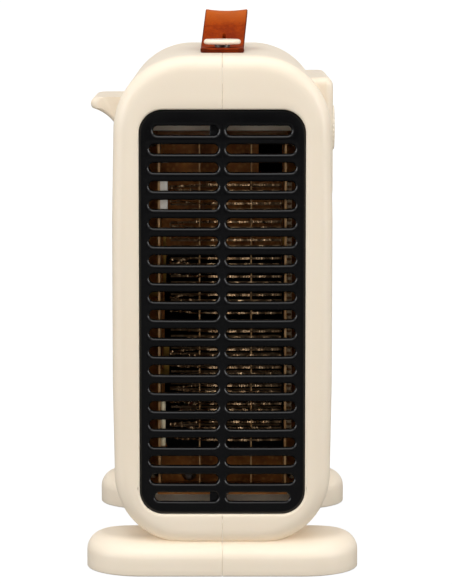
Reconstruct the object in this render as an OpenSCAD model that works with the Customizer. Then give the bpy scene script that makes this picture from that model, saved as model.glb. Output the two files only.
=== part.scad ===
// Cream upright fan heater with a leather carrying strap.
// The air runs along Y: in at the rear (+Y), past the fan and the wound
// mica heating element, and out of the front grille (-Y).
// Origin at the centre of the footprint, on the floor. +Z is up.

/* [Body] */
// Width of the body across its side walls
body_w = 106; // [95:1:130]
// Length of the body from the front face to the rear face
body_l = 212; // [185:1:255]
// Height of the body's top above the floor
body_top = 251.4; // [225:0.1:302]
// Height of the body's underside above the floor
body_bottom = 14.7; // [13.5:0.1:16]
// Corner radius along the top of the body
top_corner_r = 36; // [28:1:40]
// Corner radius along the bottom of the body
bottom_corner_r = 34; // [28:1:38]
// How much the side walls swell at mid height
side_swell = 0.8; // [0:0.1:2]
// Rounding around the front and rear faces
face_edge_r = 7.5; // [6:0.5:9]
// Wall thickness of the moulded housing
wall = 2.5; // [2:0.1:3]

/* [Feet] */
// Width of each foot across the body
foot_w = 133; // [122:1:160]
// Length of each foot along the body
foot_l = 55; // [46:1:64]
// Height of each foot's top above the floor
foot_h = 17.4; // [16.5:0.1:21]
// Rounding around the top of each foot
foot_edge_r = 8; // [5:0.5:9]
// How far each foot reaches beyond the body's face
foot_reach = 5.2; // [3:0.1:8]
// Thickness of the cover that closes each foot from below
cover_t = 2; // [1.5:0.1:3]
// Diameter of the rubber pads
pad_d = 14; // [10:1:16]
// How far the pads stand out below the feet
pad_proud = 0.5; // [0.4:0.1:1]

/* [Grilles] */
// Width of each grille
grille_w = 80; // [70:1:84]
// Height of each grille
grille_h = 196; // [160:1:200]
// Height of the grilles' lower edge above the floor
grille_z = 29.8; // [28:0.1:36]
// Corner radius of the grilles
grille_corner_r = 11.5; // [8:0.5:14]
// Thickness of the grille plates
grille_t = 3; // [2.5:0.1:4]
// Depth of the grille's face behind the body's face
grille_recess = 0.8; // [0.4:0.1:1.5]
// Rim that holds a grille behind the opening's edge
grille_rim = 3; // [2:0.5:4]
// Rows of slots
slot_rows = 21; // [15:1:21]
// Height of a slot
slot_h = 4.4; // [3.5:0.1:4.8]
// Width of the web between the two columns of slots
slot_web = 4.2; // [3:0.1:6]
// Plain margin beside the slots
slot_margin = 4.9; // [4:0.1:7]
// Plain margin from the grille's lower edge to the lowest slot's centre
slot_base = 8.4; // [7:0.1:12]
// Plain margin from the highest slot's centre to the grille's upper edge
slot_head = 10; // [8:0.1:14]

/* [Strap] */
// Width of the leather strap
strap_w = 21.6; // [18:0.2:26]
// Thickness of the leather
strap_t = 2.4; // [1.8:0.1:3]
// Distance between the strap's two ends
strap_span = 135; // [115:1:160]
// Height of the strap's crown above the body's top
strap_rise = 20; // [16:0.5:26]
// Sideways lean of the crown
strap_lean = 2.2; // [0:0.1:3]
// Flat length of the strap at each end
strap_flat = 25; // [22:0.5:30]
// Distance from a strap end to its button
button_inset = 12; // [10:0.5:14]
// Diameter of the buttons
button_d = 18.2; // [14:0.2:19]
// Thickness of the buttons
button_t = 2.6; // [2:0.1:4]
// Diameter of the posts under the buttons
post_d = 8; // [6:0.5:9]
// Gap between the strap and its buttons
button_gap = 1.4; // [1:0.1:2]

/* [Controls] */
// Length of the control pod along the body
pod_l = 100; // [80:1:110]
// Height of the control pod
pod_h = 62; // [54:1:70]
// Height of the pod's top above the floor
pod_top = 238.6; // [225:0.1:242]
// How far the pod stands out from the side wall
pod_proud = 2; // [1.5:0.1:4]
// Rounding of the pod's outer edges
pod_edge_r = 4; // [3:0.5:6]
// Diameter of the control dial
dial_d = 24; // [18:1:28]
// How far the dial stands out from the pod
dial_proud = 2.4; // [2:0.1:5]
// Height of the dial's axis above the floor
dial_z = 211; // [205:0.5:214]
// Diameter of the indicator lens
lens_d = 5; // [3:0.5:8]

/* [Grip ledge] */
// Length of the grip ledge along the body
ledge_l = 60; // [45:1:80]
// Height of the ledge's flat top above the floor
ledge_top = 228; // [214:1:230]
// How far the ledge reaches out from the side wall
ledge_reach = 13.3; // [10:0.1:13.5]
// Height of the ledge where it meets the wall
ledge_h = 16; // [13:0.5:20]

/* [Heating element] */
// Width of the element's mica frame
element_w = 72; // [62:1:76]
// How much lower the element's mica frame is than the front grille
element_trim = 21; // [18:0.5:30]
// Depth of the mica cards along the air flow
element_d = 30; // [24:1:36]
// Thickness of the mica
mica_t = 1; // [0.8:0.1:1.5]
// Distance between the two combs that carry the wire
comb_gap = 25; // [20:1:30]
// Sideways place of the middle of the combs
comb_x = 1.5; // [0:0.1:2]
// Diameter of the resistance wire's envelope
wire_d = 1.2; // [0.8:0.1:1.4]
// Rows of resistance wire
wire_rows = 15; // [11:1:17]
// Gap from the front grille to the element
element_gap = 5; // [4:0.5:8]

/* [Fan] */
// Diameter of the fan's blade tips
fan_d = 84; // [74:1:88]
// Gap between the blade tips and their ring
tip_gap = 1.5; // [1:0.1:3]
// Diameter of the fan's hub
hub_d = 26; // [22:1:32]
// Number of blades
blade_count = 7; // [5:1:9]
// Height of the fan's axis above the floor
fan_z = 104; // [96:1:120]
// Diameter of the fan's shaft
shaft_d = 5; // [4:0.5:6]
// Radial running clearance of the shaft
shaft_clear = 0.06; // [0.02:0.01:0.1]
// Diameter of the motor
motor_d = 44; // [38:1:50]
// Length of the motor
motor_l = 30; // [24:1:36]

/* [Fits] */
// Clearance between fixed parts that fit into each other
fit = 0.2; // [0.1:0.05:0.3]
// Clearance around moving parts
run_fit = 0.4; // [0.3:0.05:0.6]
// Diameter of the housing screws' shanks
screw_d = 3; // [2.5:0.1:3.5]

/* [Hidden] */
$fn = 64;
tiny = 0.05;

// Body outline
corner_half = body_w / 2 - side_swell;
swell_r = 30;
body_mid_z = (body_top + body_bottom) / 2;
swell_half = (body_top - body_bottom) / 6;
front_y = -body_l / 2;
rear_y = body_l / 2;

// Feet
foot_y = body_l / 2 + foot_reach - foot_l / 2;
foot_end_x = foot_w / 2 - foot_l / 2;
pocket_r = foot_l / 2 - foot_edge_r / 2 - 0.6;
pocket_top = body_bottom - wall;
cover_r = pocket_r - fit;
pad_bed = 0.8;

// Dust filter
filter_t = 3;

// Seam screws: [y, z] of each, head seat in the left half, tip in the right half
boss_r = screw_d / 2 + 2.2;
screw_y = body_l / 2 - grille_recess - grille_t - filter_t - boss_r - 1.5;
screw_top_z = grille_z + grille_h - boss_r;
screw_low_z = body_bottom + wall + 4.6;
SCREWS = [[0, screw_low_z], for (y = [-screw_y, screw_y], z = [screw_low_z, screw_top_z]) [y, z]];
screw_seat = 12;
screw_reach = 10;
screw_head_d = 2 * screw_d - 0.4;
screw_head_t = 2.2;

// Grilles
slot_pitch = (grille_h - slot_base - slot_head) / (slot_rows - 1);
face_y = front_y + grille_recess;
rear_lift = 3 * slot_pitch;
rear_rows = slot_rows - 3;
slot_len = grille_w / 2 - slot_margin - slot_web / 2;
rim_corner_r = grille_corner_r + 2 * grille_rim;
corner_run = 24;
corner_draw = 6;
tongue_w = 4;
tongue_x = -4;
slot_base_rise = slot_h / 2 + 1;

// Heating element
element_h = grille_h - element_trim;
element_y = face_y + grille_t + element_gap;
plate_y = element_y + element_d;
card_x = element_w / 2 - 5.5;
element_top = grille_z + slot_base + (slot_rows - 1) * slot_pitch - slot_h / 2 - 0.4;
element_low = element_top - element_h;
plate_w = body_w - 2 * wall - 5;
plate_corner = 10;
dam_t = 2;
side_gap = 12.7;
top_window_h = 16;
top_window_z = element_top - 6 - top_window_h;
notch_d = 3;
wire_t = 0.4;
wire_y = element_y + notch_d / 2;
wire_back_y = plate_y - notch_d / 2;
row_one_z = element_top - 3 * slot_pitch + slot_h / 2 + 0.4;
wire_left = -card_x + 5;
wire_right = card_x - 1.5;
wire_split = ceil(wire_rows / 2);
card_face = -card_x + mica_t / 2;
block_w = 3.6;
block_l = 7;
block_h = 6;
block_inset = 3;
brass_inset = 4;
brass_d = 6;
brass_foot = 2;
brass_tab = 0.8;
brass_gap = 1.6;
// Standing brass strips: [rows below the first wire, width, height in rows]
BRASS = [[5.6, 1.2, 2.8], [10.4, 2.6, 1.6]];
bush_d = 2.4;
fuse_l = 4.8;
rivet_x = card_x + 3.9;
rivet_inset = 5;
rivet_head_t = 1.6;
rivet_r = 1.4;
rail_t = 2;
cutoff_x = -16.5;
cutoff_r = 2.7;
cutoff_l = 6;
cutoff_flange_r = 3.6;
cutoff_flange_t = 1.5;
cutoff_z = element_low + mica_t + cutoff_flange_r + fit;

// Duct and fan
duct_w = fan_d + 2 * tip_gap + 3;
duct_h = duct_w + 18;
duct_t = 1.6;
duct_y = plate_y + mica_t;
ring_y = duct_y + 30;
ring_l = 24;
ring_r = fan_d / 2 + tip_gap;
rail_x = duct_w / 2 + duct_t + fit;
window_w = element_w - 12;
window_h = duct_h - 6;
window_r = 8;
fan_y = ring_y + 3;
fan_l = 18;
blade_t = 1.6;
blade_chord = 26;
blade_pitch = 38;
motor_y = fan_y + fan_l + 4;
bracket_y = motor_y - 3;
bracket_t = 2;
bracket_h = 14;
bracket_rim = 3;
shaft_y = fan_y + 2;
shaft_end = motor_y + motor_l - 4;

// Strap
strap_z = body_top;
strap_steps = 48;
strap_end = strap_span / 2;
arch_half = strap_end - strap_flat;
button_y = strap_end - button_inset;
button_z = strap_z + strap_t + button_gap;

// Controls
pod_face = body_w / 2 + pod_proud;
pod_low = pod_top - pod_h;
pod_wall = 2;
dial_depth = 6;
stem_r = 3;
stem_l = 14;
switch_x = pod_face - dial_depth - 2;
switch_size = 24;
switch_d = 16;
lens_y = 30;
lens_depth = 3;

// Grip ledge
wall_x = -body_w / 2;
ledge_tip_r = 3.4;
ledge_tip_x = wall_x - ledge_reach + ledge_tip_r;
ledge_cove_r = 19.3;
ledge_cove_x = wall_x - 17.6;
ledge_cove_z = ledge_top - 25;
ledge_end_r = 5;

// Tip-over switch
tip_x = 20;
tip_travel = 4;
tip_r = 3;
tip_flange_r = 4.5;
tip_flange_t = 1;
tip_flange_z = pad_proud + cover_t + tip_travel + 0.3;
tip_spring_t = 0.6;

// Cord inlet
gland_z = grille_z + rear_lift - grille_rim - 10;
gland_r = 6;
gland_flange_r = 8;
gland_flange_t = 2;
gland_bore_r = 3.6;
lead_r = 1.5;
lead_x = switch_x - switch_d / 2;
lead_y = 60;
sleeve_r = 1.5;
sleeve_rows = 14;

// ---------------------------------------------------------------- shapes

// A rectangle with round corners, centred
module round_rect(w, h, r) {
    square([w - 2 * r, h], center = true);
    square([w, h - 2 * r], center = true);
    for (x = [-1, 1], y = [-1, 1])
        translate([x * (w / 2 - r), y * (h / 2 - r)])
            circle(r);
}

// A slab between two planes across Y; its children are drawn in X and Z
module slab_y(y0, y1) {
    translate([0, y1, 0])
        rotate([90, 0, 0])
            linear_extrude(height = y1 - y0)
                children();
}

// A cylinder along Y or X from a start point
module rod_y(x, y, z, r, l) {
    translate([x, y, z])
        rotate([-90, 0, 0])
            cylinder(r = r, h = l);
}

module rod_x(x, y, z, r, l) {
    translate([x, y, z])
        rotate([0, 90, 0])
            cylinder(r = r, h = l);
}

// A disc across Y with rounded rims
module rim_disc(r, l, e) {
    rotate([90, 0, 0])
        rotate_extrude($fn = 56) {
            translate([0, -l / 2])
                square([r - e, l]);
            translate([0, e - l / 2])
                square([r, l - 2 * e]);
            for (s = [-1, 1])
                translate([r - e, s * (l / 2 - e)])
                    circle(e, $fn = 28);
        }
}

// The body's solid outline, drawn in from the outer surface by inset
module body_solid(inset = 0) {
    l = body_l - 2 * inset;
    e = max(face_edge_r - inset, 1);
    hull()
        for (s = [-1, 1]) {
            translate([s * (corner_half - top_corner_r), 0, body_top - top_corner_r])
                rim_disc(top_corner_r - inset, l, e);
            translate([s * (corner_half - bottom_corner_r), 0, body_bottom + bottom_corner_r])
                rim_disc(bottom_corner_r - inset, l, e);
            for (z = [-1, 1])
                translate([s * (body_w / 2 - swell_r), 0, body_mid_z + z * swell_half])
                    rim_disc(swell_r - inset, l, e);
        }
}

// A long rounded plate lying flat, as the feet are in plan
module stadium(r, z0, z1) {
    translate([0, 0, z0])
        linear_extrude(height = z1 - z0) {
            square([2 * foot_end_x, 2 * r], center = true);
            for (s = [-1, 1])
                translate([s * foot_end_x, 0])
                    circle(r);
        }
}

module foot_solid() {
    hull()
        for (s = [-1, 1])
            translate([s * foot_end_x, 0, pad_proud])
                rotate_extrude($fn = 64) {
                    square([foot_l / 2 - foot_edge_r, foot_h - pad_proud]);
                    square([foot_l / 2, foot_h - pad_proud - foot_edge_r]);
                    translate([foot_l / 2 - foot_edge_r, foot_h - pad_proud - foot_edge_r])
                        circle(foot_edge_r, $fn = 28);
                }
}

// Height of the middle of a grille whose lower edge is lifted
function grille_mid(lift) = grille_z + lift + (grille_h - lift) / 2;

// How far the outer slot end is drawn in at a distance from the grille's edge
function draw_in(d) = corner_draw * pow(max(0, corner_run - d) / corner_run, 2);

function row_z(lift, i) = grille_z + lift + slot_base + i * slot_pitch;

function row_draw(lift, i) =
    draw_in(min(row_z(lift, i) - grille_z - lift, grille_z + grille_h - row_z(lift, i)));

// All the slots of a grille, drawn in X and Z
module slots(lift, rows) {
    for (i = [0 : rows - 1], s = [-1, 1]) {
        len = slot_len - row_draw(lift, i);
        translate([s * (slot_web / 2 + len / 2), row_z(lift, i)])
            round_rect(len, slot_h, slot_h / 2 - 0.01);
    }
}

module grille_outline(lift, grow) {
    translate([0, grille_mid(lift)])
        round_rect(grille_w + 2 * grow, grille_h - lift + 2 * grow, grille_corner_r + grow);
}

// Plate and holding rim of a grille at the front; the rear one is mirrored
module grille_body(lift, rows) {
    back = face_y + grille_t;
    slab_y(face_y, back)
        difference() {
            grille_outline(lift, -fit);
            slots(lift, rows);
        }
    slab_y(front_y + wall + fit / 2, back)
        difference() {
            translate([0, grille_mid(lift)])
                round_rect(grille_w + 2 * grille_rim, grille_h - lift + 2 * grille_rim, rim_corner_r);
            grille_outline(lift, -fit - 1);
        }
}

module screw_bosses() {
    for (p = SCREWS)
        rod_x(-body_w / 2, p[0], p[1], boss_r, body_w);
}

// Channels that hold the baffle plate, walls above and below it that close the
// air's way past it, ribs beside the duct and posts behind the rotary switch,
// all standing on the inside of the walls
module shell_ribs(side) {
    difference() {
        translate([side < 0 ? -body_w / 2 : rail_x, plate_y - rail_t, element_low])
            cube([body_w / 2 - rail_x, 2 * rail_t + mica_t, element_h]);
        translate([-plate_w / 2 - fit, plate_y - fit / 2, 0])
            cube([plate_w + 2 * fit, mica_t + fit, body_top]);
    }
    for (z = [[0, element_low - fit], [element_top + fit, body_top]])
        translate([side < 0 ? -body_w / 2 : 0, plate_y, z[0]])
            cube([body_w / 2, dam_t, z[1] - z[0]]);
    translate([side < 0 ? -body_w / 2 : rail_x - fit, ring_y - 2 * rail_t, fan_z - duct_h / 4])
        cube([body_w / 2 - rail_x + fit, 2 * rail_t, duct_h / 2]);
    if (side > 0)
        for (s = [-1, 1])
            rod_x(switch_x, s * (switch_size / 2 - 1), dial_z - switch_size / 2 + 0.6, 2.4, body_w / 2 - switch_x);
}

module shell(side) {
    color("#efe6d2")
        difference() {
            intersection() {
                difference() {
                    union() {
                        body_solid();
                        for (s = [-1, 1])
                            translate([0, s * foot_y, 0])
                                foot_solid();
                    }
                    difference() {
                        body_solid(wall);
                        screw_bosses();
                        shell_ribs(side);
                    }
                }
                translate([side < 0 ? -body_w : 0, -body_l, -1])
                    cube([body_w, 2 * body_l, body_top + 2]);
            }
            slab_y(front_y - 1, front_y + wall + 1)
                grille_outline(0, 0);
            slab_y(rear_y - wall - 1, rear_y + 1)
                grille_outline(rear_lift, 0);
            for (s = [-1, 1])
                translate([0, s * foot_y, 0])
                    stadium(pocket_r, -1, pocket_top);
            if (side < 0)
                left_cuts();
            else
                right_cuts();
            for (s = [-1, 1])
                translate([0, s * button_y, body_top - wall - 1])
                    cylinder(r = post_d / 4 + fit, h = wall + 2);
            rod_y(0, rear_y - wall - 1, gland_z, gland_r + fit / 2, wall + 2);
        }
}

module left_cuts() {
    for (p = SCREWS) {
        rod_x(-screw_seat - 1, p[0], p[1], screw_d / 2 + fit, screw_seat + 2);
        rod_x(-body_w, p[0], p[1], screw_head_d / 2 + fit, body_w - screw_seat);
    }
}

module right_cuts() {
    for (p = SCREWS)
        rod_x(-1, p[0], p[1], screw_d / 2 + tiny, screw_reach + 1.5);
    rod_x(body_w / 2 - wall - 4, 0, dial_z, dial_d / 2 + run_fit, wall + 6);
    rod_x(body_w / 2 - wall - 4, lens_y, dial_z, lens_d / 2 + 1, wall + 6);
}

// ---------------------------------------------------------------- parts

module shell_left() {
    shell(-1);
}

module shell_right() {
    shell(1);
}

module front_grille() {
    color("#15161a") {
        grille_body(0, slot_rows);
        for (z = [row_z(0, 0), row_z(0, slot_rows - 1)])
            translate([tongue_x - tongue_w / 2, face_y + grille_t - tiny, z - slot_base_rise])
                cube([tongue_w, element_gap / 2, 2 * slot_base_rise]);
    }
}

module rear_grille() {
    color("#15161a")
        mirror([0, 1, 0])
            grille_body(rear_lift, rear_rows);
}

module dust_filter() {
    color("#2b2c2e")
        slab_y(rear_y - grille_recess - grille_t - filter_t - fit, rear_y - grille_recess - grille_t - fit)
            grille_outline(rear_lift, grille_rim - 1);
}

module shell_screws() {
    color("#b9bcc0")
        for (p = SCREWS) {
            rod_x(-screw_seat - tiny, p[0], p[1], screw_d / 2, screw_seat + screw_reach);
            rod_x(-screw_seat - screw_head_t, p[0], p[1], screw_head_d / 2, screw_head_t);
        }
}

module foot_cover(s) {
    color("#e4dac4")
        translate([0, s * foot_y, 0])
            difference() {
                stadium(cover_r, pad_proud, pad_proud + cover_t);
                for (x = [-1, 1])
                    translate([x * foot_end_x, 0, pad_proud - 1])
                        cylinder(d = pad_d + 2 * fit, h = 1 + pad_bed);
                if (s > 0)
                    translate([tip_x, 0, 0])
                        cylinder(r = tip_r + run_fit, h = pad_proud + cover_t + 1);
            }
}

module foot_cover_front() {
    foot_cover(-1);
}

module foot_cover_rear() {
    foot_cover(1);
}

module rubber_pads() {
    color("#3a3a3a")
        for (x = [-1, 1], y = [-1, 1])
            translate([x * foot_end_x, y * foot_y, 0])
                cylinder(d = pad_d, h = pad_proud + pad_bed);
}

// Middle line of the strap: flat at the ends, a smooth arch between
function arch(y) =
    abs(y) >= arch_half ? 0 : pow(cos(90 * y / arch_half), 2) * (1.25 - 0.25 * pow(cos(90 * y / arch_half), 2));

function strap_path(t) = -strap_end + strap_span * t;

module strap_ribbon() {
    pts = [
        for (i = [0 : strap_steps])
            let (y = strap_path(i / strap_steps), a = arch(y), z = strap_z + tiny + (strap_rise - strap_t) * a)
                for (c = [[-1, 0], [1, 0], [1, 1], [-1, 1]])
                    [c[0] * strap_w / 2 + strap_lean * a, y, z + c[1] * strap_t]
    ];
    quads = [
        for (i = [0 : strap_steps - 1], k = [0 : 3])
            [4 * i + k, 4 * i + (k + 1) % 4, 4 * i + 4 + (k + 1) % 4, 4 * i + 4 + k]
    ];
    caps = [[3, 2, 1, 0], [for (k = [0 : 3]) 4 * strap_steps + k]];
    polyhedron(points = pts, faces = concat(quads, caps));
}

module strap() {
    color("#a8521f")
        difference() {
            strap_ribbon();
            for (s = [-1, 1])
                translate([0, s * button_y, strap_z - 1])
                    cylinder(r = post_d / 2 + fit, h = strap_t + 3);
        }
}

module strap_buttons() {
    color("#f2ead8")
        for (s = [-1, 1])
            translate([0, s * button_y, button_z])
                rotate_extrude() {
                    square([button_d / 2 - button_t / 2, button_t]);
                    translate([button_d / 2 - button_t / 2, button_t / 2])
                        circle(button_t / 2 - 0.01);
                }
}

module strap_posts() {
    color("#8d8f92")
        for (s = [-1, 1])
            translate([0, s * button_y, 0]) {
                translate([0, 0, body_top + tiny])
                    cylinder(d = post_d, h = button_z - body_top - 2 * tiny);
                translate([0, 0, body_top - wall - 5])
                    cylinder(d = post_d / 2, h = wall + 5 + 2 * tiny);
            }
}

module post_nuts() {
    color("#8d8f92")
        for (s = [-1, 1])
            translate([0, s * button_y, body_top - wall - 3 - fit])
                difference() {
                    cylinder(r = post_d / 2 + 1, h = 3, $fn = 6);
                    translate([0, 0, -1])
                        cylinder(d = post_d / 2 + tiny, h = 5);
                }
}

module grip_ledge() {
    color("#efe6d2")
        difference() {
            intersection() {
                slab_y(-ledge_l / 2, ledge_l / 2)
                    difference() {
                        union() {
                            translate([ledge_tip_x, ledge_top - ledge_h])
                                square([wall_x - ledge_tip_x + 12, ledge_h]);
                            translate([ledge_tip_x, ledge_top - ledge_tip_r])
                                circle(ledge_tip_r);
                        }
                        translate([ledge_cove_x, ledge_cove_z])
                            circle(ledge_cove_r);
                    }
                translate([wall_x - ledge_reach + ledge_l / 2, 0, ledge_top - ledge_h - 1])
                    linear_extrude(height = ledge_h + 2)
                        round_rect(ledge_l, ledge_l, ledge_end_r);
            }
            body_solid(-tiny);
        }
}

// The pod's block, flat outside and rounded at its outer edges
module pod_block(inset) {
    r = pod_edge_r - inset;
    x0 = corner_half - top_corner_r / 2;
    intersection() {
        slab_y(inset - pod_l / 2, pod_l / 2 - inset) {
            translate([x0, pod_low + inset])
                square([pod_face - pod_edge_r - x0, pod_h - 2 * inset]);
            translate([x0, pod_low + pod_edge_r])
                square([pod_face - inset - x0, pod_h - 2 * pod_edge_r]);
            for (z = [pod_low + pod_edge_r, pod_top - pod_edge_r])
                translate([pod_face - pod_edge_r, z])
                    circle(r);
        }
        translate([pod_face - inset - pod_l / 2, 0, pod_low - 1])
            linear_extrude(height = pod_h + 2)
                round_rect(pod_l, pod_l - 2 * inset, r);
    }
}

module control_pod() {
    color("#efe6d2")
        difference() {
            pod_block(0);
            pod_block(pod_wall);
            body_solid(-tiny);
            rod_x(corner_half, 0, dial_z, dial_d / 2 + run_fit, pod_proud + 4);
            rod_x(corner_half, lens_y, dial_z, lens_d / 2 + fit, pod_proud + 4);
        }
}

module control_dial() {
    color("#e9dfc9") {
        rod_x(pod_face - dial_depth, 0, dial_z, dial_d / 2, dial_depth + dial_proud - 1);
        rod_x(pod_face + dial_proud - 1 - tiny, 0, dial_z, dial_d / 2 - 1, 1 + tiny);
        rod_x(pod_face - dial_depth - stem_l, 0, dial_z, stem_r, stem_l + tiny);
    }
}

module rotary_switch() {
    color("#3b3d42")
        difference() {
            translate([switch_x - switch_d, -switch_size / 2, dial_z - switch_size / 2])
                cube([switch_d, switch_size, switch_size]);
            rod_x(switch_x - stem_l + 1, 0, dial_z, stem_r + shaft_clear, stem_l);
        }
}

module indicator_lens() {
    color("#e0542a")
        rod_x(pod_face - lens_depth, lens_y, dial_z, lens_d / 2, lens_depth + 0.3);
}

module baffle_plate() {
    color("#7a5a34")
        difference() {
            slab_y(plate_y, plate_y + mica_t)
                difference() {
                    translate([0, (element_top + element_low) / 2])
                        round_rect(plate_w, element_h, plate_corner);
                    translate([comb_x, fan_z])
                        round_rect(window_w, window_h, window_r);
                    translate([card_x - side_gap, top_window_z])
                        square([side_gap - mica_t, top_window_h]);
                }
            for (x = [-1, 1], z = [element_low + rivet_inset, element_top - rivet_inset])
                rod_y(x * rivet_x, plate_y - 1, z, rivet_r, mica_t + 2);
        }
}

module plate_rivets() {
    color("#c9c6bb")
        for (x = [-1, 1], z = [element_low + rivet_inset, element_top - rivet_inset]) {
            rod_y(x * rivet_x, plate_y - rivet_head_t, z, 2 * rivet_r, rivet_head_t);
            rod_y(x * rivet_x, plate_y - tiny, z, rivet_r - 0.02, mica_t + 2 * tiny);
            rod_y(x * rivet_x, plate_y + mica_t, z, 1.5 * rivet_r, 1);
        }
}

module mica_cap(z) {
    color("#8a6a3f")
        translate([-card_x - mica_t, element_y, z])
            cube([2 * (card_x + mica_t), element_d - tiny, mica_t]);
}

module mica_cap_top() {
    mica_cap(element_top - mica_t);
}

module mica_cap_bottom() {
    mica_cap(element_low);
}

module mica_card(x) {
    color("#8a6a3f")
        translate([x - mica_t / 2, element_y, element_low + mica_t])
            cube([mica_t, element_d - tiny, element_h - 2 * mica_t]);
}

module mica_card_left() {
    mica_card(-card_x);
}

module mica_card_right() {
    mica_card(card_x);
}

// A mica card with a notch in both edges for every turn of wire
module mica_comb(x) {
    difference() {
        mica_card(x);
        for (i = [0 : wire_rows - 1], y = [element_y - 1, plate_y - notch_d])
            translate([x - mica_t, y, row_one_z - i * slot_pitch - wire_d / 2 - fit])
                cube([2 * mica_t, notch_d + 1, wire_d + 2 * fit]);
    }
}

module mica_comb_left() {
    mica_comb(comb_x - comb_gap / 2);
}

module mica_comb_right() {
    mica_comb(comb_x + comb_gap / 2);
}

// One winding of flat resistance wire around the combs, from row a to row b
module winding(a, b) {
    color("#9a938a")
        for (i = [a : b]) {
            z = row_one_z - i * slot_pitch;
            for (y = [wire_y, wire_back_y])
                translate([wire_left, y - wire_t / 2, z - wire_d / 2])
                    cube([wire_right - wire_left, wire_t, wire_d]);
            translate([wire_right - wire_t, wire_y - wire_t / 2, z - wire_d / 2])
                cube([wire_t, wire_back_y - wire_y + wire_t, wire_d]);
            if (i < b) {
                translate([wire_left, wire_back_y - wire_t / 2, z - slot_pitch - wire_d / 2])
                    cube([wire_t, wire_t, slot_pitch + wire_d]);
                translate([wire_left, wire_y - wire_t / 2, z - slot_pitch - wire_d / 2])
                    cube([wire_t, wire_back_y - wire_y + wire_t, wire_d]);
            }
        }
}

module wire_upper() {
    winding(0, wire_split - 1);
}

module wire_lower() {
    winding(wire_split, wire_rows - 1);
}

// White steatite blocks that carry the winding's ends
module terminal_blocks() {
    color("#e8e4da")
        for (i = [0, 1])
            translate([card_face, element_y + block_inset, row_one_z - i * slot_pitch - block_h / 2])
                cube([block_w, block_l, block_h]);
}

module brass_strips() {
    color("#c79a3e") {
        for (b = BRASS) {
            translate([card_face + brass_gap, element_y + brass_inset, row_one_z - b[0] * slot_pitch])
                cube([b[1], brass_d, b[2] * slot_pitch]);
            translate([card_face, element_y + brass_inset, row_one_z - b[0] * slot_pitch])
                cube([brass_gap + tiny, brass_d, brass_foot]);
        }
        translate([-card_face - brass_tab, element_y + brass_inset, row_one_z - 3.3 * slot_pitch])
            cube([brass_tab, brass_d, brass_d]);
    }
}

module ceramic_bush() {
    color("#efe7cf")
        translate([card_face + bush_d / 2, element_y + 6, row_one_z - 14.4 * slot_pitch])
            cylinder(d = bush_d, h = 2.8 * slot_pitch);
}

module thermal_fuse() {
    color("#d2a648")
        rod_x(card_face - mica_t - fuse_l, element_y + 12, row_one_z - 6 * slot_pitch, 2.4, fuse_l);
}

module thermal_cutoff() {
    color("#9fa3a5") {
        rod_y(cutoff_x, plate_y - cutoff_l, cutoff_z, cutoff_r, cutoff_l - tiny);
        rod_y(cutoff_x, plate_y - cutoff_flange_t, cutoff_z, cutoff_flange_r, cutoff_flange_t - tiny);
    }
}

module fan_duct() {
    color("#1d1e20") {
        slab_y(duct_y + tiny, ring_y + duct_t)
            difference() {
                translate([0, fan_z])
                    square([duct_w + 2 * duct_t, duct_h + 2 * duct_t], center = true);
                translate([0, fan_z])
                    square([duct_w, duct_h], center = true);
            }
        slab_y(ring_y, ring_y + duct_t)
            difference() {
                translate([0, fan_z])
                    square([duct_w + duct_t, duct_h + duct_t], center = true);
                translate([0, fan_z])
                    circle(ring_r);
            }
        slab_y(ring_y, ring_y + ring_l)
            translate([0, fan_z])
                difference() {
                    circle(ring_r + duct_t);
                    circle(ring_r);
                }
    }
}

module fan_impeller() {
    color("#2a2c30")
        difference() {
            union() {
                rod_y(0, fan_y, fan_z, hub_d / 2, fan_l);
                intersection() {
                    rod_y(0, fan_y, fan_z, fan_d / 2, fan_l);
                    for (i = [0 : blade_count - 1])
                        translate([0, fan_y + fan_l / 2, fan_z])
                            rotate([0, i * 360 / blade_count, 0])
                                translate([hub_d / 2 - 2, 0, 0])
                                    rotate([blade_pitch, 0, 0])
                                        translate([0, -blade_t / 2, -blade_chord / 2])
                                            cube([fan_d / 2, blade_t, blade_chord]);
                }
            }
            rod_y(0, shaft_y - tiny, fan_z, shaft_d / 2 + 0.02, fan_l);
        }
}

module fan_shaft() {
    color("#b5b8bb")
        rod_y(0, shaft_y, fan_z, shaft_d / 2, shaft_end - shaft_y);
}

module fan_motor() {
    color("#5d6064")
        difference() {
            union() {
                rod_y(0, motor_y, fan_z, motor_d / 2, motor_l);
                rod_y(0, motor_y - 3, fan_z, motor_d / 5, 3 + tiny);
            }
            rod_y(0, motor_y - 4, fan_z, shaft_d / 2 + shaft_clear, motor_l + 1);
        }
}

// A bar across the duct's ring that carries the motor
module motor_bracket() {
    color("#1d1e20")
        difference() {
            slab_y(ring_y + ring_l + tiny, ring_y + ring_l + bracket_t)
                difference() {
                    translate([0, fan_z]) {
                        square([2 * (ring_r + duct_t), bracket_h], center = true);
                        circle(motor_d / 2 + fit + bracket_rim);
                    }
                    translate([0, fan_z])
                        circle(motor_d / 2 + tiny);
                }
        }
}

module tip_plunger() {
    color("#1d1e20")
        translate([tip_x, foot_y, 0]) {
            cylinder(r = tip_r, h = tip_flange_z + tip_flange_t);
            translate([0, 0, tip_flange_z])
                cylinder(r = tip_flange_r, h = tip_flange_t);
        }
}

module tip_spring() {
    color("#b9bcc0")
        translate([tip_x, foot_y, tip_flange_z + tip_flange_t + tiny])
            difference() {
                cylinder(r = tip_r, h = pocket_top - tip_flange_z - tip_flange_t - 2 * tiny);
                translate([0, 0, -1])
                    cylinder(r = tip_r - tip_spring_t, h = foot_h);
            }
}

module tip_switch() {
    color("#27292c")
        translate([tip_x + tip_flange_r + 1, foot_y - 4, pad_proud + cover_t + tiny])
            cube([14, 8, pocket_top - pad_proud - cover_t - 2 * tiny]);
}

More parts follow.
